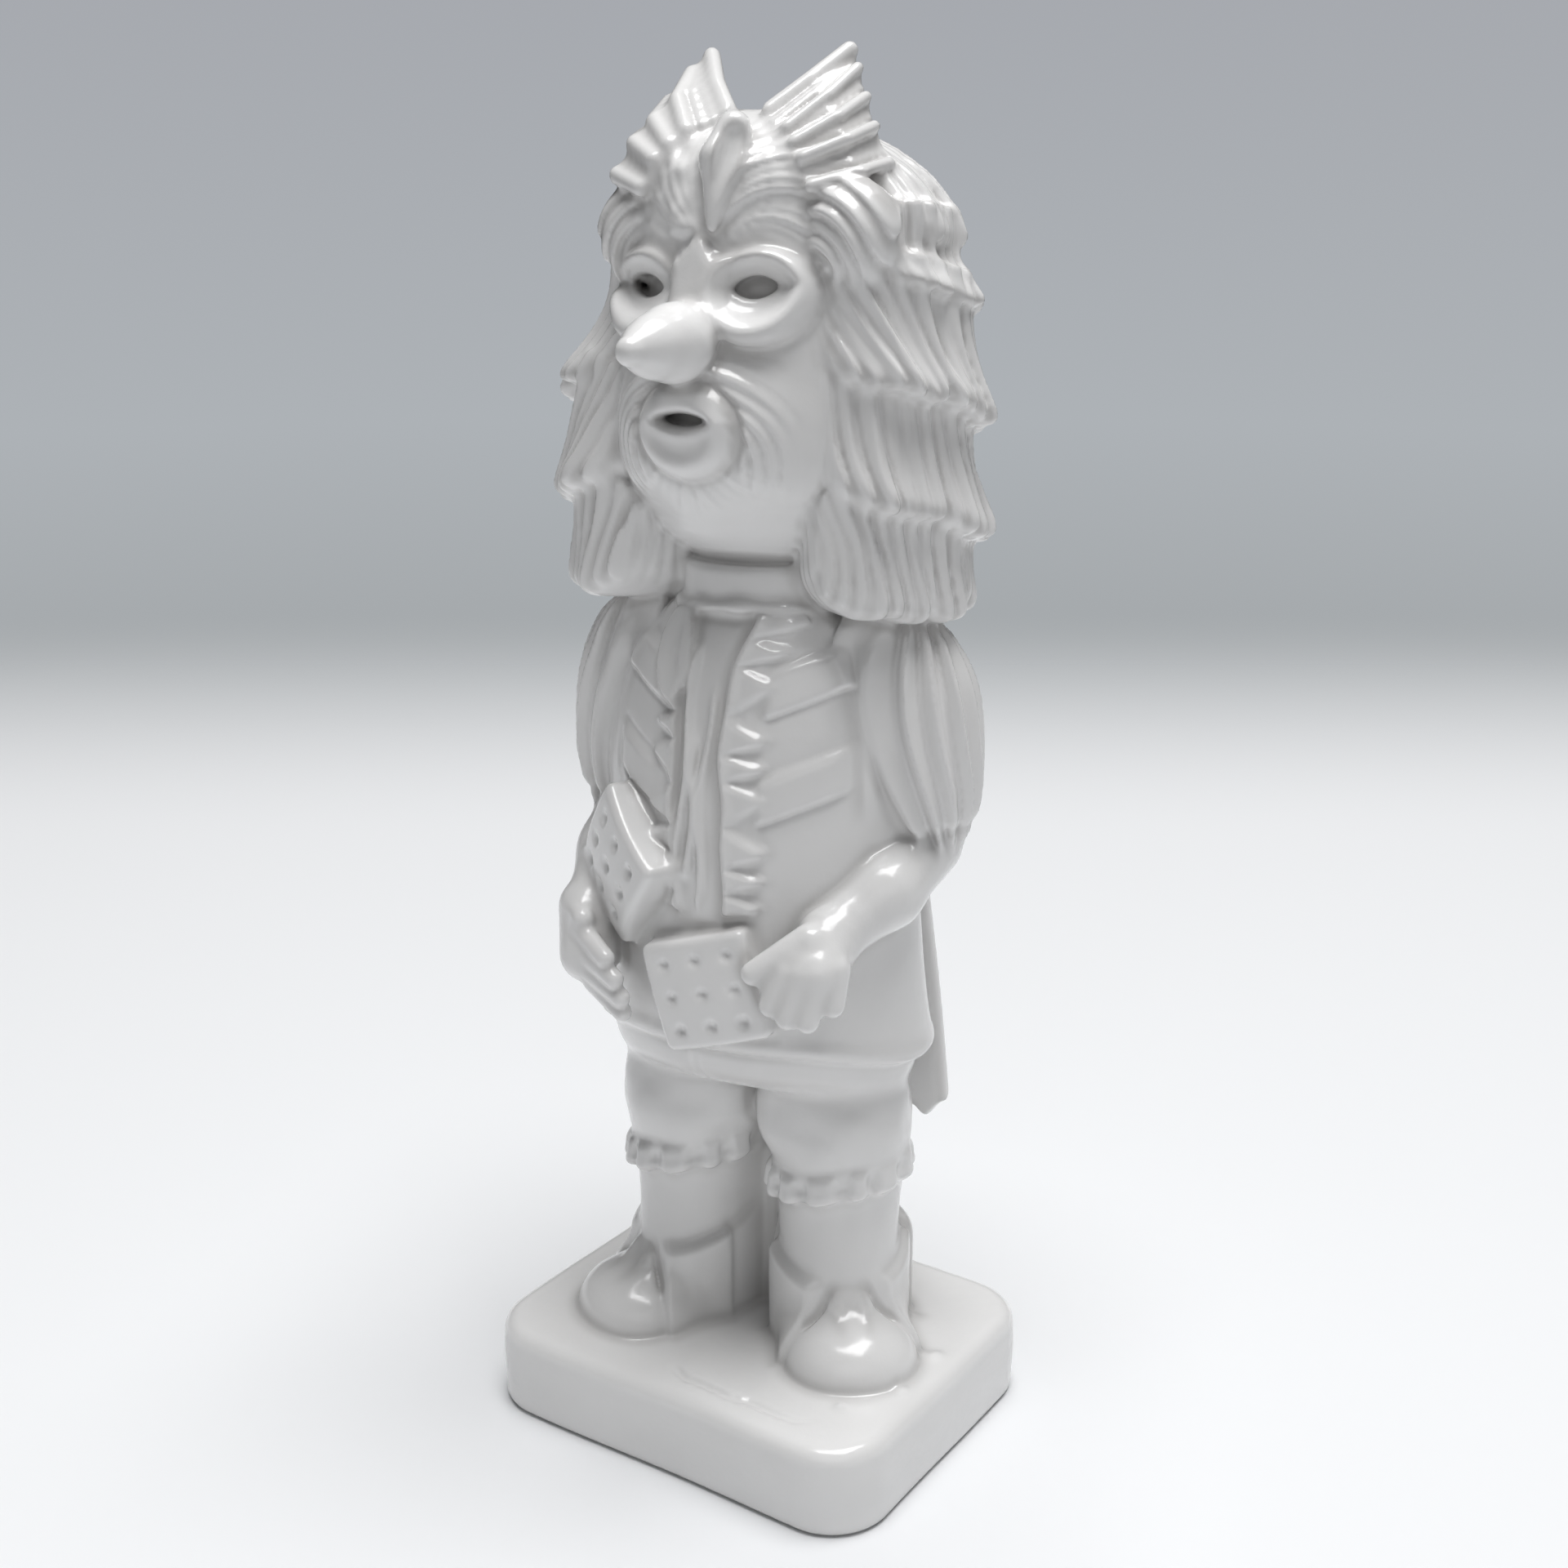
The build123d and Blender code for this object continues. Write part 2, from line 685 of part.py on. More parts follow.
def make_figure():
    # Larger pieces first; each later one gives way to what it is set on
    nodes = {}
    band = make_band()
    tunic = make_tunic(band)
    head = make_head()
    nodes["under_band"] = band
    nodes["tunic"] = tunic
    nodes["head"] = head
    for name, side in sides.items():
        leg = clear_of(make_leg(side), band)
        cuff = clear_of(make_cuff(side), leg)
        nodes[name + "_leg"] = leg
        nodes[name + "_knee_cuff"] = cuff
        nodes[name + "_shoe"] = clear_of(make_shoe(side), leg, cuff)
    nodes["collar"] = make_collar(head, tunic)
    placket = clear_of(make_placket(), nodes["collar"])
    nodes["placket"] = placket
    nodes["back_drape"] = clear_of(make_drape(), tunic, band, nodes["left_leg"], nodes["right_leg"])
    boards = {
        "left": make_board(left_board_x, left_board_height, left_board_roll),
        "right": make_board(right_board_x, right_board_height, right_board_roll),
    }
    wrists = {
        "left": on_belly(left_wrist_x, left_wrist_height, palm_lift),
        "right": on_belly(right_wrist_x, right_wrist_height, palm_lift),
    }
    hands = {"left": make_left_hand(wrists["left"]), "right": make_right_hand(wrists["right"])}
    sleeve = clear_of(make_sleeve(sides["left"]), tunic)
    nodes["left_sleeve"] = sleeve
    nodes["right_sleeve"] = mirror(sleeve, Plane.YZ)
    for name, side in sides.items():
        ruffle = clear_of(make_ruffle(side), nodes["collar"], placket)
        board = clear_of(boards[name], tunic, placket, ruffle)
        forearm = clear_of(make_forearm(side, wrists[name]), tunic, nodes[name + "_sleeve"], board)
        nodes[name + "_ruffle"] = ruffle
        nodes[name + "_carder"] = board
        nodes[name + "_forearm"] = forearm
        nodes[name + "_hand"] = clear_of(hands[name], tunic, board, forearm)
    goggles = clear_of(make_goggles())
    nose = make_nose(head, goggles)
    lips = clear_of(make_lips(), nose)
    nodes["goggles"] = goggles
    nodes["nose"] = nose
    nodes["mouth_ring"] = lips
    under_wig = [head, tunic, nodes["collar"], nodes["back_drape"], goggles]
    under_wig += [nodes[name + "_sleeve"] for name in sides]
    rooms = [wing_room(side) for side in sides.values()]
    tiers = []
    for count in range(len(tier_drops)):
        others = under_wig + rooms if count == 0 else under_wig
        tiers.append(make_tier(count, *others))
        nodes["wig_tier_" + str(count + 1)] = tiers[count]
    for name, side in sides.items():
        nodes[name + "_whisker"] = make_whisker(side, goggles, nose, lips, *tiers)
        nodes[name + "_wing"] = make_wing(side, head, *tiers)
        nodes[name + "_tuft"] = make_tuft(side, head, goggles, nodes[name + "_wing"], *tiers)
    tufts = [nodes[name + "_tuft"] for name in sides]
    fleece = make_fleece(goggles, nodes["left_wing"], nodes["right_wing"], *tiers, *tufts)
    nodes["brow_fleece"] = fleece
    nodes["forelock"] = make_forelock(head, fleece, nodes["left_wing"], nodes["right_wing"], *tiers)
    return nodes


os.makedirs("parts", exist_ok=True)
figure_seat = Pos(figure_x, figure_y, 0) * Rot(0, 0, figure_turn)
export_step(make_plinth(), "parts/plinth.step")
for node, piece in make_figure().items():
    export_step(figure_seat * piece, "parts/" + node + ".step")
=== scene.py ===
import bpy
import math
from itertools import product
import numpy as np
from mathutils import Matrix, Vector


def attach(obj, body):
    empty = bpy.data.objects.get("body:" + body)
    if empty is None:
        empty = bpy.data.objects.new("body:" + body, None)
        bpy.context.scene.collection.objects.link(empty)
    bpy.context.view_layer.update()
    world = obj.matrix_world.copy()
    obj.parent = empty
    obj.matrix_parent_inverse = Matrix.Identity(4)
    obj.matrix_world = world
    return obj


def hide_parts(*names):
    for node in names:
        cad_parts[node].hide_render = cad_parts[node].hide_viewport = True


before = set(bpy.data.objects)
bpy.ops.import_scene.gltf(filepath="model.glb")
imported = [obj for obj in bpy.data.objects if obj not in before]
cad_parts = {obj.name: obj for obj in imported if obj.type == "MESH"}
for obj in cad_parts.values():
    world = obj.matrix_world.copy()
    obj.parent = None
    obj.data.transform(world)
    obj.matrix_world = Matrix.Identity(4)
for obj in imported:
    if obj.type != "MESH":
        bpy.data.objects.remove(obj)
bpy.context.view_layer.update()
mm = 0.001      # the scene is in metres, the clay is worked in millimetres

# How the casting is sampled and how much the glaze fills its creases
casting = {"step": 0.5, "quickStep": 0.8, "fillet": 1.5, "lap": 0.9, "sink": 0.25, "pad": 4.0, "spare": 2.0,
           "far": 60.0, "crumb": 0.02}
step = casting["step"]


# Places of the CAD nodes, in millimetres
def nodePoints(node):
    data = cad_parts[node].data
    co = np.empty(len(data.vertices) * 3, np.float32)
    data.vertices.foreach_get("co", co)
    return co.reshape(-1, 3).astype(float) / mm


def tableMid(node):
    points = nodePoints(node)
    return (points.min(0) + points.max(0)) / 2


# The figure stands turned on its plinth: its axis is the tunic's, its turn is the line of the legs
axisX, axisY = tableMid("tunic")[:2]
legLine = tableMid("left_leg") - tableMid("right_leg")
turnCos, turnSin = legLine[:2] / np.hypot(legLine[0], legLine[1])


def spun(x, y, c, s):
    return x * c - y * s, x * s + y * c


def toFigure(x, y):
    return spun(x - axisX, y - axisY, turnCos, -turnSin)


def toTable(x, y):
    dx, dy = spun(x, y, turnCos, turnSin)
    return axisX + dx, axisY + dy


def figurePoints(node):
    points = nodePoints(node)
    points[:, 0], points[:, 1] = toFigure(points[:, 0], points[:, 1])
    return points


def figureBox(node):
    points = figurePoints(node)
    return points.min(0), points.max(0)


def levels(node):
    low, high = figureBox(node)
    return low[2], high[2]


plinthTop = levels("plinth")[1]
hemZ, throatZ = levels("tunic")
crownZ = levels("head")[1]
eyeZ = sum(levels("goggles")) / 2
mouthZ = sum(levels("mouth_ring")) / 2
legX = np.hypot(legLine[0], legLine[1]) / 2
sides = {"left": 1, "right": -1}

# One grid in the figure's frame that every piece shares
allPoints = np.concatenate([figurePoints(node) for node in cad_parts])
gridLow = allPoints.min(0) - casting["pad"] - casting["spare"]
gridCount = np.ceil((allPoints.max(0) + casting["pad"] + casting["spare"] - gridLow) / step).astype(int) + 1
gridLines = [(gridLow[k] + step * np.arange(gridCount[k])).astype(np.float32) for k in range(3)]
casts = {}


def cast(node, field, pad=casting["pad"], **details):
    # samples a piece's field round its CAD node
    pad = np.ones(3) * pad
    low, high = figureBox(node)
    first = np.maximum(np.floor((low - pad - gridLow) / step).astype(int), 0)
    last = np.minimum(np.ceil((high + pad - gridLow) / step).astype(int) + 1, gridCount)
    part = tuple(slice(a, b) for a, b in zip(first, last))
    x, y, z = np.ix_(*[line[span] for line, span in zip(gridLines, part)])
    clay = np.broadcast_to(field(x, y, z, **details), tuple(last - first)).astype(np.float32)
    casts[node] = (part, clay)


# Shapes as distances: negative inside the clay
def blend(a, b, soft):
    h = np.maximum(soft - np.abs(a - b), 0) / soft
    return np.minimum(a, b) - h * h * soft / 4


def cut(a, b, soft):
    return -blend(-a, -b, soft)


def within(*limits):
    # inside all of these at once
    body = limits[0]
    for limit in limits[1:]:
        body = np.maximum(body, limit)
    return body


def rounded(edge, *faces):
    # the corner between these faces, rounded off
    faces = [face + edge for face in faces]
    out = np.sqrt(sum(np.maximum(face, 0) ** 2 for face in faces))
    return out + np.minimum(within(*faces), 0) - edge


def between(a, b, share):
    return a + (b - a) * share


def turned(degrees):
    return math.cos(math.radians(degrees)), math.sin(math.radians(degrees))


def egg(x, y, z, a, b, c):
    near = np.sqrt((x / a) ** 2 + (y / b) ** 2 + (z / c) ** 2)
    slope = np.sqrt((x / (a * a)) ** 2 + (y / (b * b)) ** 2 + (z / (c * c)) ** 2)
    return near * (near - 1) / np.maximum(slope, 1e-5)


def oval(x, y, a, b):
    return egg(x, y, 0.0, a, b, 1.0)


def taper(x, y, z, start, end, startRadius, endRadius):
    run = [e - s for s, e in zip(start, end)]
    long2 = sum(r * r for r in run)
    px, py, pz = x - start[0], y - start[1], z - start[2]
    along = np.clip((px * run[0] + py * run[1] + pz * run[2]) / long2, 0, 1)
    far = np.sqrt((px - along * run[0]) ** 2 + (py - along * run[1]) ** 2 + (pz - along * run[2]) ** 2)
    return far - startRadius - (endRadius - startRadius) * along


def ease(t):
    return t * t * (3 - 2 * t)


def smooth(low, high, t):
    return ease(np.clip((t - low) / (high - low), 0, 1))


def bump(t, width):
    return np.exp(-(t / width) ** 2)


def flow(keys, at):
    # smooth run through a few (place, value) pairs
    place, value = np.array(keys, float).T
    slope = np.gradient(value, place)
    i = np.clip(np.searchsorted(place, at) - 1, 0, len(place) - 2)
    wide = place[i + 1] - place[i]
    t = np.clip((at - place[i]) / wide, 0, 1)
    bend = (2 * t ** 3 - 3 * t ** 2 + 1) * value[i] + (3 * t ** 2 - 2 * t ** 3) * value[i + 1]
    bend += (t ** 3 - 2 * t ** 2 + t) * wide * slope[i] + (t ** 3 - t ** 2) * wide * slope[i + 1]
    return bend.astype(np.float32)


# Hand-worked unevenness, from fixed seeds
tableSize = 64


def tableOf(seed):
    return np.random.default_rng(seed).random((tableSize, tableSize)).astype(np.float32)


def wander(t, seed):
    row = tableOf(seed)[0]
    i = np.floor(t).astype(int)
    return between(row[i % tableSize], row[(i + 1) % tableSize], ease(t - i))


def patches(u, v, seed):
    grid = tableOf(seed)
    u, v = np.broadcast_arrays(u, v)
    i, j = np.floor(u).astype(int), np.floor(v).astype(int)
    f, g = ease(u - i), ease(v - j)
    i0, i1, j0, j1 = [k % tableSize for k in (i, i + 1, j, j + 1)]
    return between(between(grid[i0, j0], grid[i1, j0], f), between(grid[i0, j1], grid[i1, j1], f), g)


def strands(across, along, pitch, seed, even=0.5):
    # combed locks: rounded ridges with narrow valleys, 0 to 1
    sway = 1.4 * (patches(across / (7 * pitch), along / (5 * pitch), seed) - 0.5)
    t = across / pitch + sway
    i = np.floor(t).astype(int)
    ridge = np.sqrt(np.maximum(1 - (2 * (t - i) - 1) ** 2, 0))
    body = tableOf(seed + 1)[1][i % tableSize]
    fade = patches(i * 3.7, along / (6 * pitch), seed + 2)
    return ridge * (even + (1 - even) * body) * (0.65 + 0.45 * fade)


print("grid", gridCount, "step", step)

# Plinth: a slab with soft edges, a wandering crack and three lumps on its top
plinth = {"corner": 12.4, "topRound": 3.0, "footRound": 1.0, "wobble": 0.22,
          "crackDepth": 0.6, "crackLip": 0.25,
          "crack": [(-2.5, -26.7), (2.8, -29.1), (8.4, -28.5), (14.6, -28.1), (22.6, -27.7), (31.1, -27.1)],
          "lumps": [(38.1, 4.4, 1.6), (38.3, -9.2, 1.3), (31.5, -20.0, 1.0)], "lumpHeight": 0.7}


def plinthField(x, y, z):
    low, high = nodePoints("plinth").min(0), nodePoints("plinth").max(0)
    mid, half = (low + high) / 2, (high - low) / 2
    tx, ty = toTable(x, y)
    px, py = tx - mid[0], ty - mid[1]
    plan = rounded(plinth["corner"], np.abs(px) - half[0], np.abs(py) - half[1])
    plan = plan + plinth["wobble"] * (1 + np.sin(px * 0.11 + 1) * np.sin(py * 0.13) + 0.5 * np.sin(z * 0.5))
    lift = z - high[2] + plinth["wobble"] * np.sin(px * 0.16 + 0.5) * np.sin(py * 0.14 + 2)
    for lx, ly, wide in plinth["lumps"]:
        lift = lift - plinth["lumpHeight"] * bump(np.hypot(tx - lx, ty - ly), wide)
    ragged = 1.4 * (wander(tx * 0.3, 5) - 0.5) + 0.4 * (wander(tx * 0.8, 6) - 0.5)
    line = np.interp(tx, *zip(*plinth["crack"]))
    ends = smooth(-3, 1, tx) * (1 - smooth(20, 34, tx))
    lift = lift + plinth["crackDepth"] * ends * bump(ty - line - ragged, 0.7)
    lift = lift - plinth["crackLip"] * ends * smooth(0, 1.6, ty - line - ragged) * bump(ty - line, 5)
    body = rounded(plinth["topRound"], plan, lift)
    return cut(body, low[2] - z, plinth["footRound"] * 2)


cast("plinth", plinthField)

# Legs: stockings, then full breeches with slack folds, and a sunk web of clay between them
leg = {"profile": [(16, 12.0), (30, 11.8), (40, 11.6), (47, 12.0), (54, 13.0), (60, 13.9), (66, 13.6),
                   (72, 12.6), (84, 12.0)],
       "folds": 0.22, "full": 2.0, "webMiddle": 4.5, "webHalf": 2.5, "webSoft": 6.0}


def legField(x, y, z, side):
    lx = x - side * legX
    around = np.arctan2(lx, -y)
    radius = flow(leg["profile"], z)
    slack = np.sin(around * 4 + side + z * 0.25) + 0.6 * np.sin(around * 7 - z * 0.33 + side)
    radius = radius + leg["folds"] * slack * smooth(52, 58, z) * (1 - smooth(64, 70, z))
    inner = np.maximum(-side * np.sin(around), 0) + 0.5 * np.maximum(np.cos(around), 0)
    radius = radius + leg["full"] * inner * smooth(54, 63, z)
    low, high = levels("left_leg")
    web = within(np.abs(y - leg["webMiddle"]) - leg["webHalf"], -side * x, side * x - legX)
    calf = blend(np.hypot(lx, y) - radius, web, leg["webSoft"])
    return within(calf, -side * x - 0.5, z - high, low - z)


# Knee cuffs: a band with pressed gathers, sloping down to the figure's right
cuff = {"middle": 11.75, "halfThick": 2.75, "halfHeight": 3.0, "lift": 0.8, "rounding": 1.8, "flare": 0.10,
        "gathers": 13, "press": 2.3, "lobes": 0.35, "slope": (0.20, -0.04)}


def cuffField(x, y, z, side):
    lx = x - side * legX
    around = np.arctan2(lx, -y)
    low, high = levels("left_knee_cuff")
    mid = (low + high) / 2 + cuff["lift"] + cuff["slope"][0] * lx + cuff["slope"][1] * y
    out = np.hypot(lx, y) - cuff["middle"] - cuff["flare"] * (mid - z)
    ring = rounded(cuff["rounding"], np.abs(out) - cuff["halfThick"], np.abs(z - mid) - cuff["halfHeight"])
    turn = around / (2 * math.pi) * cuff["gathers"] + 0.35 * wander(around * 2 + 9, 12)
    dent = np.clip(np.cos(turn * 2 * math.pi) + 0.2, 0, 1) * (0.55 + 0.45 * wander(turn + 20, 13))
    lobes = cuff["lobes"] * np.cos(turn * 2 * math.pi)
    return ring + cuff["press"] * dent * bump(z - mid - 0.3, 2.0) + lobes * smooth(0, -3, z - mid)


# Shoes: vamp and toe, two facings laced over it with a V-shaped seam, and a heel counter
shoe = {"splay": 34.0, "toeReach": 14.2, "toeRise": 0.6, "toe": (12.8, 11.4, 8.8), "shaft": 12.7,
        "instep": ((0, -0.2, 12.0), (0, 7.8, 2.4), 10.2, 8.6), "ankle": 18.0, "ankleSlope": 0.40,
        "seamStart": 9.8, "seamSlope": 0.30, "seamDepth": 1.3, "facing": 1.2, "eyelet": 0.8,
        "eyelets": [(11.4, 3.0), (14.6, 3.4)], "counter": (15.6, 13.2), "counterBack": 3.2,
        "counterTop": 21.5}


def shoeField(x, y, z, side):
    lx, up = x - side * legX, z - plinthTop
    c, s = turned(side * shoe["splay"])
    across, ahead = lx * c + y * s, lx * s - y * c
    toe = egg(across, ahead - shoe["toeReach"], up - shoe["toeRise"], *shoe["toe"])
    shaft = oval(across, ahead + 0.2, shoe["shaft"], shoe["shaft"])
    shaft = cut(shaft, up - shoe["ankle"] + shoe["ankleSlope"] * ahead, 1.6)
    instep = taper(across, ahead, up, *shoe["instep"])
    upper = blend(blend(shaft, instep, 3.0), toe, 4.5)
    counter = oval(across, ahead + shoe["counterBack"], *shoe["counter"])
    counter = cut(counter, up - shoe["counterTop"] - 0.15 * (-ahead - 4), 5.0)
    counter = cut(cut(counter, ahead + 1.0, 2.5), -side * across - 3.0, 3.0)
    upper = blend(upper, counter, 1.2)
    seam = ahead - shoe["seamStart"] - shoe["seamSlope"] * np.abs(across)
    laced = smooth(0.2, 1.3, np.abs(across))
    upper = upper - shoe["facing"] * smooth(0.6, -0.6, seam) * laced * smooth(-1.5, 0.5, ahead)
    sewn = smooth(2, 5, ahead) * smooth(10, 7, np.abs(across))
    upper = upper + shoe["seamDepth"] * bump(seam - 0.5, 0.75) * sewn
    for (level, apart), hand in product(shoe["eyelets"], (-1, 1)):
        spot = np.hypot(across - hand * apart, up - level)
        upper = upper - shoe["eyelet"] * (bump(spot, 1.3) - 0.8 * bump(spot, 0.55)) * (ahead > 3)
    return np.maximum(upper, -up)


for name, side in sides.items():
    cast(name + "_leg", legField, side=side)
    cast(name + "_knee_cuff", cuffField, side=side)
    cast(name + "_shoe", shoeField, side=side)
print("legs and shoes cast")

# Shirt band under the hem, with a lap seam
band = {"halfWidth": 29.0, "halfDepth": 22.0, "flare": 0.12, "rounding": 4.0, "frontLift": 5.0,
        "seamX": -3.4, "seam": 0.7}


def frontRise(y, halfDepth, lift):
    return lift * smooth(0.1, 1.0, -y / halfDepth)


def bandField(x, y, z):
    low, high = levels("under_band")
    flare = band["flare"] * (z - low)
    shell = oval(x, y, band["halfWidth"] + flare, band["halfDepth"] + flare)
    shell = shell - band["seam"] * 0.5 * smooth(0.4, -0.4, x - band["seamX"]) * (y < 0)
    shell = shell + band["seam"] * bump(x - band["seamX"], 0.7) * (y < 0)
    foot = low + frontRise(y, band["halfDepth"], band["frontLift"]) - z
    return cut(cut(shell, foot, band["rounding"] * 2), z - high - 1, 1.0)


# Tunic: flared hem, two raised straps on each breast, armhole ridges, slack folds above the hem
tunic = {"width": [(0, 32.8), (3, 32.4), (9, 31.4), (24, 29.8), (44, 28.5), (64, 27.0), (76, 23.2),
                   (84, 15.0)],
         "depth": [(0, 25.6), (3, 25.2), (9, 24.9), (24, 24.5), (44, 23.5), (64, 20.2), (76, 16.8),
                   (84, 13.4)],
         "armhole": [(40, 25.8), (52, 25.4), (64, 23.9), (73, 21.2), (84, 14.5)], "armholeRidge": 0.7,
         "frontLift": 4.6, "hemDepth": 25.0, "hemRoll": 0.5, "hemRound": 1.8,
         "strapTops": [73.3, 55.0], "strapTall": 7.3, "strapHeight": 1.0,
         "strapRise": 0.42, "strapSpan": (9.0, 23.0), "seatFold": 0.35}


def tunicBody(x, y, z):
    up = z - hemZ
    return oval(x, y, flow(tunic["width"], up), flow(tunic["depth"], up))


def tunicField(x, y, z):
    up = z - hemZ
    body = tunicBody(x, y, z)
    across = np.abs(x)
    front = smooth(0, -6, y)
    near, end = tunic["strapSpan"]
    inSpan = smooth(near - 1, near + 1, across) * smooth(end + 1, end - 2, across) * front
    foot = -tunic["strapTall"]
    for top in tunic["strapTops"]:
        rise = up - tunic["strapRise"] * (across - near) - top
        raised = smooth(foot - 0.5, foot + 0.1, rise) * smooth(1.2, -1.4, rise)
        edges = 0.45 * bump(rise - foot + 0.6, 0.6) + 0.30 * bump(rise - 1.1, 0.5)
        body = body - (tunic["strapHeight"] * raised - edges) * inSpan
    armhole = across - flow(tunic["armhole"], up)
    body = body - tunic["armholeRidge"] * bump(armhole, 1.2) * front * smooth(46, 52, up)
    around = np.arctan2(x, -y)
    slack = np.sin(around * 9 + 0.6 * np.sin(z * 0.12)) * (0.4 + 0.6 * wander(around * 3 + 30, 21))
    body = body - tunic["seatFold"] * slack * smooth(22, 6, up) * smooth(0.5, 1.2, np.abs(around))
    hem = hemZ + frontRise(y, tunic["hemDepth"], tunic["frontLift"])
    body = body - tunic["hemRoll"] * bump(z - hem - 1.6, 1.6)
    return cut(cut(body, hem - z, tunic["hemRound"]), z - throatZ, 2.0)


cast("under_band", bandField)
cast("tunic", tunicField)

# Placket: a strip with three wavering ridges
placket = {"halfWidth": 4.6, "middle": -1.4, "height": 0.5, "foot": 29.0, "head": 81.0,
           "ridges": [(-5.0, 32, 77), (-3.0, 38, 62), (-0.8, 32, 70)], "ridgeHeight": 2.1, "ridgeWidth": 0.8}


def placketField(x, y, z):
    up = z - hemZ
    body = tunicBody(x, y, z)
    skin = body - placket["height"]
    for at, low, high in placket["ridges"]:
        sway = at + 0.6 * np.sin(up * 0.23 + at) + 0.02 * (up - 50)
        run = smooth(low - 3, low + 2, up) * smooth(high + 2, high - 3, up)
        skin = skin - placket["ridgeHeight"] * bump(x - sway, placket["ridgeWidth"]) * run
    edge = within(np.abs(x - placket["middle"]) - placket["halfWidth"], placket["foot"] - up,
                  up - placket["head"])
    return within(cut(skin, edge, 1.5), -body - 2.5, y)


# Ruffles: a fold along the placket with scalloped lobes and pressed hollows, flaring out under the collar
ruffle = {"height": 2.3, "lobes": 8, "foot": 31.0, "head": 83.0, "lobeDepth": 1.3, "press": 1.5,
          "loopPlace": (-9.2, 76.0), "loopHalf": (3.9, 8.0), "loopHeight": 2.9, "loopHollow": 1.9,
          "left": {"inner": [(28, 3.6), (45, 3.0), (66, 1.7), (73, 2.6), (84, 5.6)],
                   "outer": [(28, 7.6), (34, 9.0), (45, 9.4), (60, 8.4), (70, 8.8), (77, 10.4), (84, 13.4)]},
          "right": {"inner": [(28, 4.4), (45, 6.0), (66, 7.0), (84, 6.6)],
                    "outer": [(28, 6.8), (33, 8.4), (45, 11.2), (60, 11.2), (70, 10.6), (84, 13.0)]}}


def ruffleField(x, y, z, name, side):
    up = z - hemZ
    body = tunicBody(x, y, z)
    shape = ruffle[name]
    beat = (up - ruffle["foot"]) / (ruffle["head"] - ruffle["foot"]) * ruffle["lobes"]
    beat = beat + 0.22 * np.sin(up * 0.31 + side)
    phase = np.abs(beat - np.floor(beat) - 0.5) * 2
    inner = flow(shape["inner"], up) + 0.25 * np.sin(up * 0.4)
    outer = flow(shape["outer"], up) + ruffle["lobeDepth"] * (smooth(0, 1, phase) - 0.5) * 2
    across = side * x
    share = (across - inner) / np.maximum(outer - inner, 1)
    dent = smooth(0, 0.45, (share - 0.05) * 1.1 - phase)
    tall = ruffle["height"] * (0.75 + 0.4 * bump(across - inner - 0.9, 0.9)) - ruffle["press"] * dent
    edge = within(inner - across, across - outer, ruffle["foot"] - up, up - ruffle["head"])
    skin = cut(body - tall, edge, 1.8)
    if name == "right":
        # a hanging loop of the frill under the collar
        wide, tall = ruffle["loopHalf"]
        loop = np.hypot((x - ruffle["loopPlace"][0]) / wide, (up - ruffle["loopPlace"][1]) / tall)
        lump = body - ruffle["loopHeight"] + ruffle["loopHollow"] * bump(loop, 0.55)
        skin = blend(skin, np.maximum(lump, (loop - 1) * wide), 0.8)
    return within(skin, -body - 2.5, y)


# Collar: a standing band with a bead along its foot
collar = {"radius": 14.7, "inside": 8.0, "bead": 1.15, "beadDrop": 1.2, "rounding": 1.2}


def collarField(x, y, z):
    low, high = levels("collar")
    out = np.hypot(x, y)
    half = collar["radius"] / 2
    strip = rounded(collar["rounding"], np.abs(out - half - 3) - half + 3,
                    np.abs(z - (low + high) / 2) - (high - low) / 2 - 1)
    around = np.arctan2(x, -y)
    droop = low + collar["beadDrop"] + 0.5 * np.sin(around * 3 + 1)
    thick = collar["bead"] * (0.85 + 0.2 * np.sin(around * 11))
    bead = np.hypot(out - collar["radius"] - 0.3, z - droop) - thick
    return np.maximum(blend(strip, bead, 1.0), collar["inside"] - out)


cast("placket", placketField)
for name, side in sides.items():
    cast(name + "_ruffle", ruffleField, name=name, side=side)
cast("collar", collarField)
print("tunic front cast")

# Pleated cloth down the back
drape = {"pleats": 9, "deep": 1.3, "thick": 5.0, "topHalf": 17.0, "footHalf": 29.5, "bow": 0.003,
         "back": [27.6, 28.6, 29.0, 28.2, 26.6, 22.4]}


def drapeField(x, y, z):
    low, high = levels("back_drape")
    share = np.clip((z - low) / (high - low), 0, 1)
    half = between(drape["footHalf"], drape["topHalf"], share)
    rows = [low - 1, low + 12, hemZ, hemZ + 20, hemZ + 45, high]
    curve = flow(list(zip(rows, drape["back"])), z) - drape["bow"] * x * x
    turn = x / half * drape["pleats"] / 2 + 0.18 * np.sin(z * 0.06)
    pleat = drape["deep"] * (np.abs(np.sin(turn * math.pi)) ** 0.7 - 0.6) * (1 - 0.5 * share)
    deep = y - curve + drape["thick"] / 2
    sheet = np.abs(deep) - drape["thick"] / 2 - pleat * (deep > 0)
    foot = low + 1.2 * np.sin(turn * 2 * math.pi) + 0.8 + 0.25 * np.maximum(np.abs(x) - 18, 0)
    return cut(cut(sheet, np.abs(x) - half, 3.0), np.maximum(foot - z, z - high), 2.0)


cast("back_drape", drapeField)

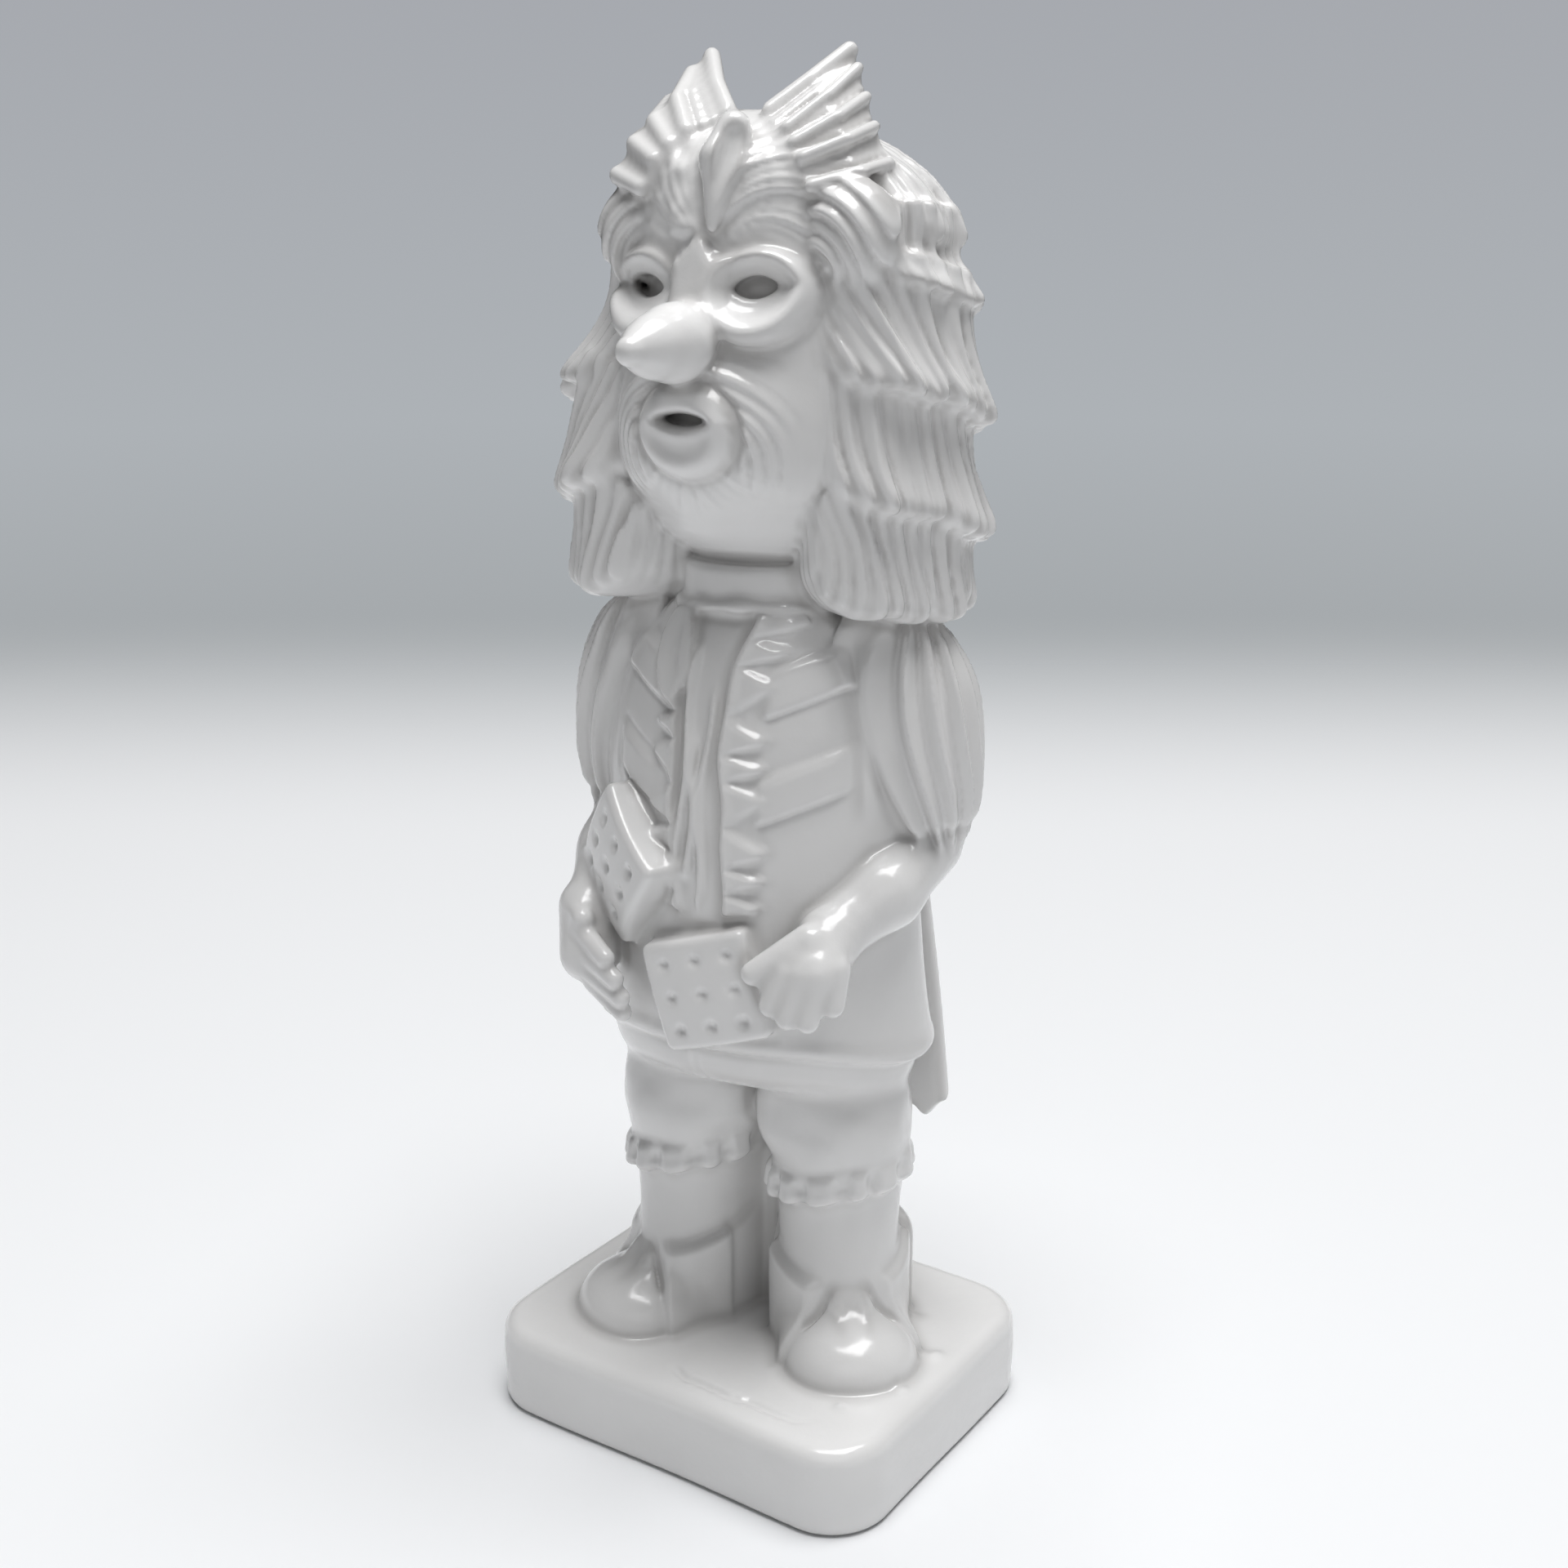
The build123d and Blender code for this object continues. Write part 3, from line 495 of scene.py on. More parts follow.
# Sleeves set in at the shoulder, with long folds drawn down to the elbow, and bare forearms
sleeve = {"lean": 8.0, "halfWidth": 9.8, "halfDepth": 11.4, "halfLength": 22.0, "folds": 14,
          "foldDepth": 2.7, "inset": 2.2, "shoulder": (18.5, 27.0, 8.0, 9.6), "seat": (20.5, 22.5, 9.5, 8.0),
          "cuffSeam": 0.5}
forearm = {"elbowRadius": 7.4, "bowRadius": 6.3, "wristRadius": 5.3,
           "left": {"wrist": (21.8, -19.0, 106.0), "bow": (28.0, -9.0, 112.0)},
           "right": {"wrist": (-28.0, -16.5, 103.0), "bow": (-29.0, -7.0, 111.5)}}


def armBox(name, side):
    low, high = figureBox(name + "_sleeve")
    reach = max(abs(low[0]), abs(high[0])) - sleeve["halfWidth"] - sleeve["inset"]
    return side * reach, low, high


def sleeveField(x, y, z, name, side):
    cx, low, high = armBox(name, side)
    mid = (low + high) / 2
    u, w = spun(x - cx, z - mid[2], *turned(-side * sleeve["lean"]))
    dy = y - mid[1]
    around = np.arctan2(u * side, -dy)
    puff = egg(u, dy, w, sleeve["halfWidth"], sleeve["halfDepth"], sleeve["halfLength"])
    start, end, startRadius, endRadius = sleeve["shoulder"]
    shoulder = taper(x, y, z, (side * start, mid[1] - 1, high[2] - 3), (side * end, mid[1], mid[2] + 6),
                     startRadius, endRadius)
    start, end, startRadius, endRadius = sleeve["seat"]
    seat = taper(x, y, z, (side * start, mid[1] - 4, high[2] - 8), (side * end, mid[1] - 4, low[2] + 2),
                 startRadius, endRadius)
    puff = blend(blend(puff, shoulder, 5.0), seat, 7.0)
    turn = around * sleeve["folds"] / (2 * math.pi) + 0.45 * np.sin(w * 0.09 + side)
    turn = turn + 0.5 * wander(around * 1.5 + 40, 31)
    fold = (0.5 + 0.5 * np.cos(turn * 2 * math.pi)) ** 1.5 - 0.4
    strong = 0.25 + 0.75 * wander(turn + 50, 32)
    puff = puff - sleeve["foldDepth"] * fold * strong * smooth(25, 17, np.abs(w))
    return puff + sleeve["cuffSeam"] * bump(w + 16.5, 1.0)


def forearmField(x, y, z, name, side):
    arm = forearm[name]
    cx, low, high = armBox(name, side)
    elbow = (cx, (low[1] + high[1]) / 2, low[2] + 1.5)
    upper = taper(x, y, z, elbow, arm["bow"], forearm["elbowRadius"], forearm["bowRadius"])
    lower = taper(x, y, z, arm["bow"], arm["wrist"], forearm["bowRadius"], forearm["wristRadius"])
    return blend(upper, lower, 3.0)


# Boards: square, with pressed tooth marks
board = {"halfThick": 2.9, "rounding": 1.3, "pitch": 6.2, "tooth": 0.95, "press": 1.5}


def boardField(x, y, z, middle, facing, roll, slump, half, deep):
    n = np.array(facing) / np.linalg.norm(facing)
    across = np.cross((0, 0, 1), n)
    across = across / np.linalg.norm(across)
    rise = np.cross(n, across)
    edgeU, edgeV = spun(across, rise, *turned(-roll))
    dx, dy, dz = x - middle[0], y - middle[1], z - middle[2]
    u, v, w = [dx * e[0] + dy * e[1] + dz * e[2] for e in (edgeU, edgeV, n)]
    w = w + slump * (u * u + v * v)
    plank = rounded(board["rounding"], np.abs(u) - half, np.abs(v) - half,
                    np.abs(w + deep) - board["halfThick"] - deep)
    for i, j in product((-1, 0, 1), repeat=2):
        du, dv = u - i * board["pitch"], v - j * board["pitch"]
        hole = np.sqrt(du * du + dv * dv + 0.12 * (w - board["halfThick"]) ** 2)
        plank = plank + board["press"] * bump(hole, board["tooth"]) * (w > 0)
    return plank


boards = {"left": {"middle": (1.2, -26.4, 95.0), "facing": (0.10, -0.985, 0.02), "roll": 15.6,
                   "slump": 0.006, "half": 10.2, "deep": 1.0},
          "right": {"middle": (-19.4, -21.2, 114.2), "facing": (-0.60, -0.80, -0.02), "roll": -37.0,
                    "slump": 0.008, "half": 10.9, "deep": 3.0}}

# Hands: the left one hangs over its board, the right one is closed under its board
hands = {"left": {"palm": ((21.8, -19.6, 105.6), (21.8, -25.2, 101.6), 5.6, 5.4), "finger": 2.5, "pad": 6.0,
                  "fingers": [((18.0, -28.4, 101.6), (15.4, -30.0, 95.8)),
                              ((20.8, -28.4, 101.6), (18.6, -30.0, 94.0)),
                              ((23.4, -27.4, 101.8), (22.0, -29.0, 93.6)),
                              ((25.6, -25.0, 102.4), (25.6, -26.4, 96.2))],
                  "thumb": [((20.4, -24.6, 106.6), (11.8, -29.6, 101.0), 3.3, 2.2),
                            ((18.6, -26.4, 103.4), (15.0, -28.0, 98.6), 3.0, 2.6)]},
         "right": {"palm": ((-28.4, -16.8, 102.6), (-26.4, -21.0, 95.6), 6.0, 5.6), "finger": 2.1, "pad": 7.0,
                   "fingers": [((-27.0, -23.0, 101.0), (-19.0, -27.6, 98.0)),
                               ((-26.8, -23.6, 97.6), (-17.0, -28.0, 94.4)),
                               ((-25.6, -23.8, 94.2), (-16.0, -27.6, 90.8)),
                               ((-24.0, -23.6, 91.2), (-16.2, -26.8, 87.6))],
                   "thumb": [((-30.2, -18.2, 104.0), (-26.0, -23.6, 103.2), 3.2, 2.2)]}}


def handField(x, y, z, hand):
    flesh = taper(x, y, z, *hand["palm"])
    for root, tip in hand["fingers"]:
        flesh = blend(flesh, taper(x, y, z, root, tip, hand["finger"], hand["finger"] * 0.85), 1.0)
    for part in hand["thumb"]:
        flesh = blend(flesh, taper(x, y, z, *part), 1.2)
    return flesh


for name, side in sides.items():
    cast(name + "_sleeve", sleeveField, name=name, side=side)
    cast(name + "_forearm", forearmField, 6.0, name=name, side=side)
for name in sides:
    cast(name + "_carder", boardField, 5.0, **boards[name])
for name in sides:
    cast(name + "_hand", handField, hands[name]["pad"], hand=hands[name])
print("arms cast")

# Head: an egg with a round chin and a muzzle; the mask looks a few degrees aside
head = {"turn": 7.0, "neck": 11.0, "neckTop": 14.0, "chinDrop": 24.0,
        "muzzle": 2.6, "muzzleWide": 15.0, "muzzleTall": 13.0, "muzzleRise": 23.0,
        "width": [(-1.5, 2.0), (0, 10.5), (3, 16.5), (11, 23.2), (24, 25.8), (35, 26.0), (46, 25.0),
                  (61, 21.5), (70, 15.5), (76, 5.0)],
        "depth": [(-1.5, 1.5), (0, 8.6), (3, 13.4), (11, 18.8), (24, 22.6), (35, 21.6), (46, 19.2),
                  (61, 15.5), (70, 11.5), (76, 4.0)]}
chinZ = mouthZ - head["chinDrop"]
maskCos, maskSin = turned(head["turn"])

# Mask: goggles with rolled rims and almond eye holes, a drop nose, a ringed mouth
goggles = {"spread": 10.7, "halfWidth": 8.7, "halfHeight": 7.8, "farShift": 2.6, "rim": 4.0, "floor": 0.3,
           "bevel": 4.2, "bridge": 4.6, "bridgeHeight": 3.6, "bridgeHalf": 5.0, "peak": 4.0,
           "eyeX": 9.0, "eyeRise": 0.9, "eyeLong": 4.7, "eyeTall": 2.2, "eyeTilt": 4.0, "eyeDeep": 3.5,
           "eyeAside": 1.5, "slant": 0.34, "front": -16.5, "drop": 0.6}
lips = {"halfWidth": 9.6, "halfHeight": 8.2, "rim": 2.5, "dish": 1.5, "roll": 2.4, "slitRise": 1.8,
        "slitLong": 5.6, "slitTall": 1.4, "slitDeep": 4.0, "front": -25.5}


def onMask(x, y):
    return spun(x, y, maskCos, maskSin)


def almond(u, v, long, tall):
    radius = (long * long + tall * tall) / (2 * tall)
    return np.maximum(np.hypot(u, v + radius - tall), np.hypot(u, v - radius + tall)) - radius


def aside(side):
    # the far lens sits a little further out
    return -goggles["farShift"] if side < 0 else 0


def eyeHole(mx, my, z, side):
    # cut in slantwise, towards the figure's right
    mx = mx + goggles["slant"] * (my - goggles["front"])
    across = mx - side * goggles["eyeX"] - goggles["eyeAside"] * aside(side)
    u, v = spun(across, z - eyeZ - goggles["eyeRise"], *turned(-side * goggles["eyeTilt"]))
    return almond(u, v, goggles["eyeLong"], goggles["eyeTall"])


def lensOval(mx, up, side):
    across = mx - side * goggles["spread"] - aside(side)
    return oval(across, up + goggles["drop"], goggles["halfWidth"], goggles["halfHeight"])


def mouthSlit(mx, my, z):
    across = mx + goggles["slant"] * (my - lips["front"])
    return almond(across, z - mouthZ - lips["slitRise"], lips["slitLong"], lips["slitTall"])


def faceBody(x, y, z):
    up = z - chinZ
    body = cut(oval(x, y, flow(head["width"], up), flow(head["depth"], up)), z - crownZ, 3.0)
    mx, my = onMask(x, y)
    muzzle = np.hypot(mx / head["muzzleWide"], (up - head["muzzleRise"]) / head["muzzleTall"])
    return body - head["muzzle"] * bump(muzzle, 1.0) * smooth(2, -8, my)


def onFace(x, y, z):
    return faceBody(x, y, z), *onMask(x, y)


def headField(x, y, z):
    body, mx, my = onFace(x, y, z)
    neck = within(np.hypot(x, y) - head["neck"], levels("head")[0] - z, z - chinZ - head["neckTop"])
    flesh = blend(body, neck, 3.0)
    for side in sides.values():
        flesh = cut(flesh, -within(eyeHole(mx, my, z, side), -body - goggles["eyeDeep"], my), 0.8)
    return cut(flesh, -within(mouthSlit(mx, my, z), -body - lips["slitDeep"], my), 0.8)


def gogglesField(x, y, z):
    body, mx, my = onFace(x, y, z)
    pads = []
    for side in sides.values():
        out = lensOval(mx, z - eyeZ, side)
        bevel = smooth(0.2, goggles["bevel"], eyeHole(mx, my, z, side))
        tall = between(goggles["floor"], goggles["rim"], bevel * (0.75 + 0.25 * bump(out + 2.4, 2.2)))
        pads.append(cut(body - tall, out, 2.8))
    rise = z - eyeZ - 1.0
    peak = goggles["bridge"] + goggles["peak"] * bump(mx, 2.2)
    bridge = within(rise - peak, -rise - goggles["bridge"], np.abs(mx) - goggles["bridgeHalf"])
    mask = blend(blend(*pads, 1.5), cut(body - goggles["bridgeHeight"], bridge, 3.0), 2.0)
    for side in sides.values():
        mask = cut(mask, -np.maximum(eyeHole(mx, my, z, side), my), 0.9)
    return within(mask, my, -body - 1.5)


nose = {"root": (0.0, -27.2, -7.8), "ball": 6.1, "tip": (0.0, -39.0, -8.5), "middle": 4.3, "middleAt": 0.55,
        "nub": 2.5, "seat": 4.6}


def noseField(x, y, z):
    mx, my = onMask(x, y)
    root, tip = [(a, b, eyeZ + c) for a, b, c in (nose["root"], nose["tip"])]
    middle = [between(r, t, nose["middleAt"]) for r, t in zip(root, tip)]
    ball = egg(mx - root[0], my - root[1], z - root[2], nose["ball"], nose["ball"] * 1.2, nose["ball"])
    cone = taper(mx, my, z, root, middle, nose["ball"] * 0.9, nose["middle"])
    point = taper(mx, my, z, middle, tip, nose["middle"], nose["nub"])
    drop = blend(blend(ball, cone, 3.0), point, 2.5)
    inner = (0.0, root[1] + 8, root[2] + 3)
    return blend(drop, taper(mx, my, z, root, inner, nose["ball"] * 0.8, nose["seat"]), 2.0)


def mouthField(x, y, z):
    body, mx, my = onFace(x, y, z)
    out = oval(mx, z - mouthZ, lips["halfWidth"], lips["halfHeight"])
    slit = mouthSlit(mx, my, z)
    tall = between(lips["dish"], lips["rim"], bump(out + lips["roll"], 1.8)) + 0.4 * bump(slit - 0.8, 0.9)
    ring = cut(cut(body - tall, out, 1.6), -np.maximum(slit, my), 1.0)
    return within(ring, my, -body - 1.5)


# Whiskers: strands that sweep from under the nose round the mouth and out over the cheeks
whisker = {"height": 2.3, "pitch": 2.1, "sweep": 5.0, "near": 14.0, "spread": 4.6, "top": 7.0, "beard": 11.0}


def whiskerField(x, y, z, side):
    body, mx, my = onFace(x, y, z)
    fx, fz = side * mx, z - mouthZ
    ring, turn = np.hypot(fx, fz * 1.1), np.arctan2(fx, fz)
    swept = strands(ring - whisker["sweep"] * turn + 40, turn * 12 + 20, whisker["pitch"], 61, 0.75)
    beard = strands(turn * whisker["beard"] + 30, ring, whisker["pitch"], 64, 0.5)
    low = smooth(2.1, 2.5, turn)
    lay = between(swept, 0.6 * beard, low)
    out = ring - whisker["near"] - whisker["spread"] * np.minimum(turn, 1.8) + 5 * low
    skin = body - 0.1 - whisker["height"] * lay * smooth(0.5, -5, out)
    mouth = oval(mx, fz, lips["halfWidth"], lips["halfHeight"])
    edge = within(out, 0.3 - fx, z - eyeZ + whisker["top"], 1.0 - mouth)
    return within(cut(skin, edge, 1.5), my + 2, -body - 1.5)


cast("head", headField, 5.0)
cast("goggles", gogglesField, 5.0)
cast("nose", noseField, 6.0)
cast("mouth_ring", mouthField, 5.0)
for name, side in sides.items():
    cast(name + "_whisker", whiskerField, 6.0, side=side)
print("mask cast")

# Wig: stepped tiers of fleece, tilted up towards the face, that flare to wavering lips
wig = {"setback": 4.0, "drops": [21.5, 10.5, 19.0, 19.5, 13.5], "tilts": [0.0, 3.0, 5.0, 8.0, 12.0, 9.0],
       "frontLift": [0.0, 1.0, 3.0, 4.0, 2.5, -1.5], "pitch": 2.9, "lock": 2.7, "locks": 10, "groove": 1.6,
       "rightTop": 0.84, "rightFoot": 1.06, "sweep": [0.30, 0.34, 0.34, 0.16, 0.10], "thin": 5.0,
       "thinReach": 13.0, "lipRound": 2.2, "lipWave": 1.0, "lipNick": 1.0, "frontSoft": 4.0, "tuck": 6.0,
       "domeTuck": 0.5, "flare": 1.9, "farWrap": 8.0, "round": 34.0, "pad": (5.0, 5.0, 10.0),
       "faceAngle": [64.0, 55.0, 48.0, 47.0, 45.0], "lockAngle": [70.0, 56.0, 47.0, 47.0, 47.0],
       "necks": [(32.6, 25.0), (35.0, 26.6), (35.2, 27.0), (35.6, 27.4)],
       "lips": [(39.8, 30.0), (41.4, 31.0), (41.0, 31.2), (37.4, 29.0)],
       "domeWidth": [(-30, 37.0), (-21.5, 34.6), (-15, 31.0), (-8, 24.5), (-4, 17.5), (-1.5, 10.0), (0, 3.0)],
       "domeDepth": [(-30, 29.0), (-21.5, 27.0), (-15, 24.4), (-8, 19.5), (-4, 14.0), (-1.5, 8.0), (0, 2.5)]}


def ringZ(count, dy, around):
    # height of a tier's edge
    tilted = crownZ - sum(wig["drops"][:count]) - dy * math.tan(math.radians(wig["tilts"][count]))
    return tilted + wig["frontLift"][count] * smooth(1.9, 0.95, np.abs(around))


def tierField(x, y, z, count):
    dy = y - wig["setback"]
    around = np.arctan2(x, -dy)
    first = math.radians(wig["lockAngle"][count])
    pace = (2 * math.pi - 2 * first) / wig["locks"]
    place = (np.abs(np.arctan2(x, -dy * 1.3)) - first) / pace
    parting = np.where(place > 0.5, np.abs(place - np.round(place)) * pace * 36, 9)
    wave = wig["lipWave"] * (wander(around * 5.5 + count * 7 + 60, 71 + count) - 0.5) * 2
    high = ringZ(count, dy, around)
    lip = ringZ(count + 1, dy, around) + wave + wig["lipNick"] * bump(parting, 2.4)
    share = np.clip((high - z) / (high - lip), 0, 1.2) ** wig["flare"]
    if count == 0:
        a, b = flow(wig["domeWidth"], z - crownZ), flow(wig["domeDepth"], z - crownZ)
    else:
        a, b = [between(n, e, share) for n, e in zip(wig["necks"][count - 1], wig["lips"][count - 1])]
    slim = between(wig["rightFoot"], wig["rightTop"], smooth(crownZ - 52, crownZ - 26, z))
    shell = oval(np.where(x < 0, x / slim, x), dy, a, b)
    front = smooth(1.7, 0.8, np.abs(around))
    comb = np.abs(around) * wig["round"] + (0.05 + wig["sweep"][count] * front) * (z - lip)
    comb = (comb + np.sin(z * 0.16 + around * 4)) * np.where(x > 0, 1, -1) + 300
    lay = strands(comb, z + 100, wig["pitch"], 81 + count)
    lay = lay + 0.3 * strands(comb * 1.7 + 40, z + 50, wig["pitch"], 91 + count)
    shell = shell - wig["lock"] * (lay - 0.6) + wig["groove"] * (0.4 + 0.6 * share) * bump(parting, 1.7)
    tuck = wig["tuck"] if count else wig["domeTuck"]
    shell = cut(cut(shell, lip - z, wig["lipRound"] * 2), z - high - tuck, 1.0)
    angle = np.radians(wig["faceAngle"][count] - (wig["farWrap"] if count > 2 else 0) * (x < 0))
    mx, my = onMask(x, dy)
    inward = np.abs(mx) * np.cos(angle) + my * np.sin(angle)
    endLay = strands(np.abs(mx) * np.sin(angle) - my * np.cos(angle) + 90, z + 100, wig["pitch"], 96)
    shell = shell + wig["thin"] * np.clip(1 - inward / wig["thinReach"], 0, 1) ** 2
    shell = cut(shell, -inward - wig["lock"] * 0.6 * (endLay - 0.6), wig["frontSoft"])
    return np.maximum(shell, -faceBody(x, y, z) - 1.2)


for count in range(len(wig["drops"])):
    cast("wig_tier_" + str(count + 1), tierField, wig["pad"], count=count)
print("wig cast")

# Tufts: swirls of fleece beside the goggles
tuft = {"halfWidth": 7.6, "halfDepth": 5.2, "halfHeight": 8.4, "pitch": 2.5, "lock": 2.6,
        "swirl": (-4.5, -6.0), "left": (0.6, -2.4, 0.4), "right": (-1.8, 0.4, 0.4)}


def tuftField(x, y, z, name, side):
    low, high = figureBox(name + "_tuft")
    mid = (low + high) / 2
    out, back, rise = tuft[name]
    dx, dy, dz = side * (x - mid[0]) - out, y - mid[1] - back, z - mid[2] - rise
    lump = egg(dx, dy, dz, tuft["halfWidth"], tuft["halfDepth"], tuft["halfHeight"])
    sx, sz = dx - tuft["swirl"][0], dz - tuft["swirl"][1]
    swirl = np.hypot(sx - 0.3 * dy, sz)
    lay = strands(swirl + 20, np.arctan2(sz, sx) * 8 + 50, tuft["pitch"], 101, 0.8)
    return lump - tuft["lock"] * (lay - 0.5)


# Brow fleece: combed both ways from the parting
fleece = {"thick": 3.0, "pitch": 1.9, "lock": 1.9, "halfWidth": 21.0, "foot": 3.0, "parting": 8.0,
          "curl": 1.3}


def fleeceField(x, y, z):
    body = faceBody(x, y, z)
    up = z - eyeZ
    side = np.where(x > 0, 1, -1)
    fan = np.arctan2(up - fleece["parting"], np.abs(x) + 1.5)
    run = np.hypot(x, up - fleece["parting"])
    lay = strands(fan * 13 + 0.02 * run * run * side + 60, run + 30, fleece["pitch"], 111)
    curls = fleece["curl"] * patches(x / 2.6 + 20, z / 2.3, 115)
    lay = np.where(x < 0, 0.45 * lay + 0.55 * curls, lay)
    thick = fleece["thick"] * smooth(crownZ + 1, crownZ - 9, z)
    mx = onMask(x, y)[0]
    lens = np.minimum(lensOval(mx, up, 1), lensOval(mx, up, -1))
    thick = thick * (0.2 + 0.8 * smooth(-1.0, 12.0, lens))
    skin = body - thick - fleece["lock"] * (lay - 0.5) * smooth(0.5, 3, np.abs(x)) * smooth(0, 5, lens)
    edge = within(np.abs(x) - fleece["halfWidth"], fleece["foot"] - up, -3.0 - lens)
    return within(cut(skin, edge, 2.5), y - 6, -body - 1.5)


# Forelock: a hanging leaf with a raised left edge and a hollow right side
forelock = {"upper": ((1.6, -14.6, 240.6), (0.8, -17.4, 235.6), 3.0, 3.5),
            "lower": ((0.8, -17.4, 235.6), (0.2, -20.0, 225.4), 3.5, 1.0),
            "hollow": ((4.0, -18.6, 239.6), (1.6, -22.6, 229.4), 2.6, 1.5)}


def forelockField(x, y, z):
    upper, lower, hollow = [taper(x, y, z, *shape) for shape in forelock.values()]
    return cut(blend(upper, lower, 1.5), -hollow, 1.0)


# Wings: raised quills from a root line in the fleece to stepped tips, with hollow vanes between them
wing = {"roots": [(3.6, -6.0, 243.6), (9.2, -10.8, 240.8), (11.4, -12.8, 238.4), (13.6, -14.2, 236.0),
                  (15.6, -15.2, 231.6)],
        "tips": [(13.0, 6.0, 253.8), (15.6, 3.6, 250.8), (18.4, 0.6, 246.0), (21.0, -1.8, 241.2),
                 (24.0, -2.6, 235.4)],
        "bow": [0.6, 2.0, 2.6, 3.0, 3.4], "bowWay": (0.78, -0.62, 0.1), "firstQuill": 1.5, "vane": 1.2,
        "left": {"quill": 1.05, "sink": 2.8}, "right": {"quill": 1.5, "sink": 1.1}, "barbs": 0.06,
        "pieces": 4}


def lineOf(sink, rank):
    # a place between neighbouring quills: root, bowed middle, tip
    low = min(int(rank), len(wing["roots"]) - 2)
    share = rank - low
    root, tip = [[between(a, b, share) for a, b in zip(wing[key][low], wing[key][low + 1])]
                 for key in ("roots", "tips")]
    bow = between(wing["bow"][low], wing["bow"][low + 1], share)
    middle = [(a + b) / 2 + bow * w for a, b, w in zip(root, tip, wing["bowWay"])]
    return [[p - sink * w for p, w in zip(spot, wing["bowWay"])] for spot in (root, middle, tip)]


def wingField(x, y, z, name, side):
    px = side * x
    shape = wing[name]

    def bar(line, radius):
        root, middle, tip = line
        return np.minimum(taper(px, y, z, root, middle, radius, radius),
                          taper(px, y, z, middle, tip, radius, radius))

    fan = bar(lineOf(0, 0), wing["firstQuill"])
    for rank in range(1, len(wing["roots"])):
        fan = blend(fan, bar(lineOf(0, rank), shape["quill"]), 0.6)
    barbs = wing["barbs"] * np.sin((px * 0.5 + y * 0.7 - z * 0.25) * 4.4)
    for gap, number in product(range(len(wing["roots"]) - 1), range(1, wing["pieces"])):
        share = number / wing["pieces"]
        sink = shape["sink"] * (0.4 + math.sin(share * math.pi) * 0.6)
        fan = blend(fan, bar(lineOf(sink, gap + share), wing["vane"]) - barbs, 1.0)
    return fan


for name, side in sides.items():
    cast(name + "_tuft", tuftField, 6.0, name=name, side=side)
    cast(name + "_wing", wingField, 6.0, name=name, side=side)
cast("brow_fleece", fleeceField, 5.0)
cast("forelock", forelockField, 5.0)
print("crown cast")

# One skin of glaze over all the clay: nearest and next piece at every point
nearest = np.full(gridCount, casting["far"], np.float32)
second = nearest.copy()
owner = np.full(gridCount, -1, np.int8)
names = list(casts)
for number, name in enumerate(names):
    part, clay = casts[name]
    held, after, mine = nearest[part], second[part], owner[part]
    wins = clay < held
    after[...] = np.where(wins, held, np.minimum(after, clay))
    held[...] = np.where(wins, clay, held)
    mine[...] = np.where(wins, number, mine)
skin = nearest - np.maximum(casting["fillet"] - (second - nearest), 0) ** 2 / (4 * casting["fillet"])
for direction in range(3):
    # the glaze rounds off what is finer than the grid
    back, forth = np.roll(skin, 1, direction), np.roll(skin, -1, direction)
    skin = 0.5 * skin + 0.25 * (back + forth)
print("glaze laid")


def sample(field, spots):
    i = np.clip(np.floor(spots).astype(int), 0, np.array(field.shape) - 2)
    f = spots - i
    total = 0
    for corner in product((0, 1), repeat=3):
        weight = 1
        for k in range(3):
            weight = weight * (f[:, k] if corner[k] else 1 - f[:, k])
        total = total + weight * field[tuple((i + corner).T)]
    return total


def slopeAt(field, spots):
    ways = glaze["slopeReach"] * np.eye(3)
    slope = np.stack([sample(field, spots + way) - sample(field, spots - way) for way in ways], 1)
    return slope / np.maximum(np.linalg.norm(slope, axis=1, keepdims=True), 1e-6)


def surface(field):
    # quads round every grid edge that leaves the clay, one corner per cell
    inside = field < 0
    count = np.zeros(np.array(field.shape) - 1, np.int8)
    for a, b, c in product((0, 1), repeat=3):
        count += inside[a:a + count.shape[0], b:b + count.shape[1], c:c + count.shape[2]]
    cells = np.argwhere((count > 0) & (count < 8))
    number = np.full(count.shape, -1, np.int64)
    number[tuple(cells.T)] = np.arange(len(cells))
    place, hits = np.zeros((len(cells), 3)), np.zeros(len(cells))
    for k, a, b in product(range(3), (0, 1), (0, 1)):
        corner = np.insert([a, b], k, 0)
        start = cells + corner
        end = start + np.eye(3, dtype=int)[k]
        va, vb = field[tuple(start.T)], field[tuple(end.T)]
        crosses = (va < 0) != (vb < 0)
        spot = np.tile(corner.astype(float), (len(cells), 1))
        spot[:, k] += np.where(crosses, va / np.where(crosses, va - vb, 1), 0)
        place += np.where(crosses[:, None], spot, 0)
        hits += crosses
    corners = cells + place / hits[:, None]
    quads = []
    for k in range(3):
        i, j = (k + 1) % 3, (k + 2) % 3
        a = np.moveaxis(inside, (k, i, j), (0, 1, 2))
        n = np.moveaxis(number, (k, i, j), (0, 1, 2))
        e = np.argwhere(a[:-1, 1:-1, 1:-1] != a[1:, 1:-1, 1:-1])
        s = e[:, 0], e[:, 1] + 1, e[:, 2] + 1
        ring = np.stack([n[s[0], s[1] + u, s[2] + v] for u, v in ((-1, -1), (0, -1), (0, 0), (-1, 0))], 1)
        outward = a[s]
        quads.append(np.where(outward[:, None], ring, ring[:, ::-1]))
    return corners, np.concatenate(quads)


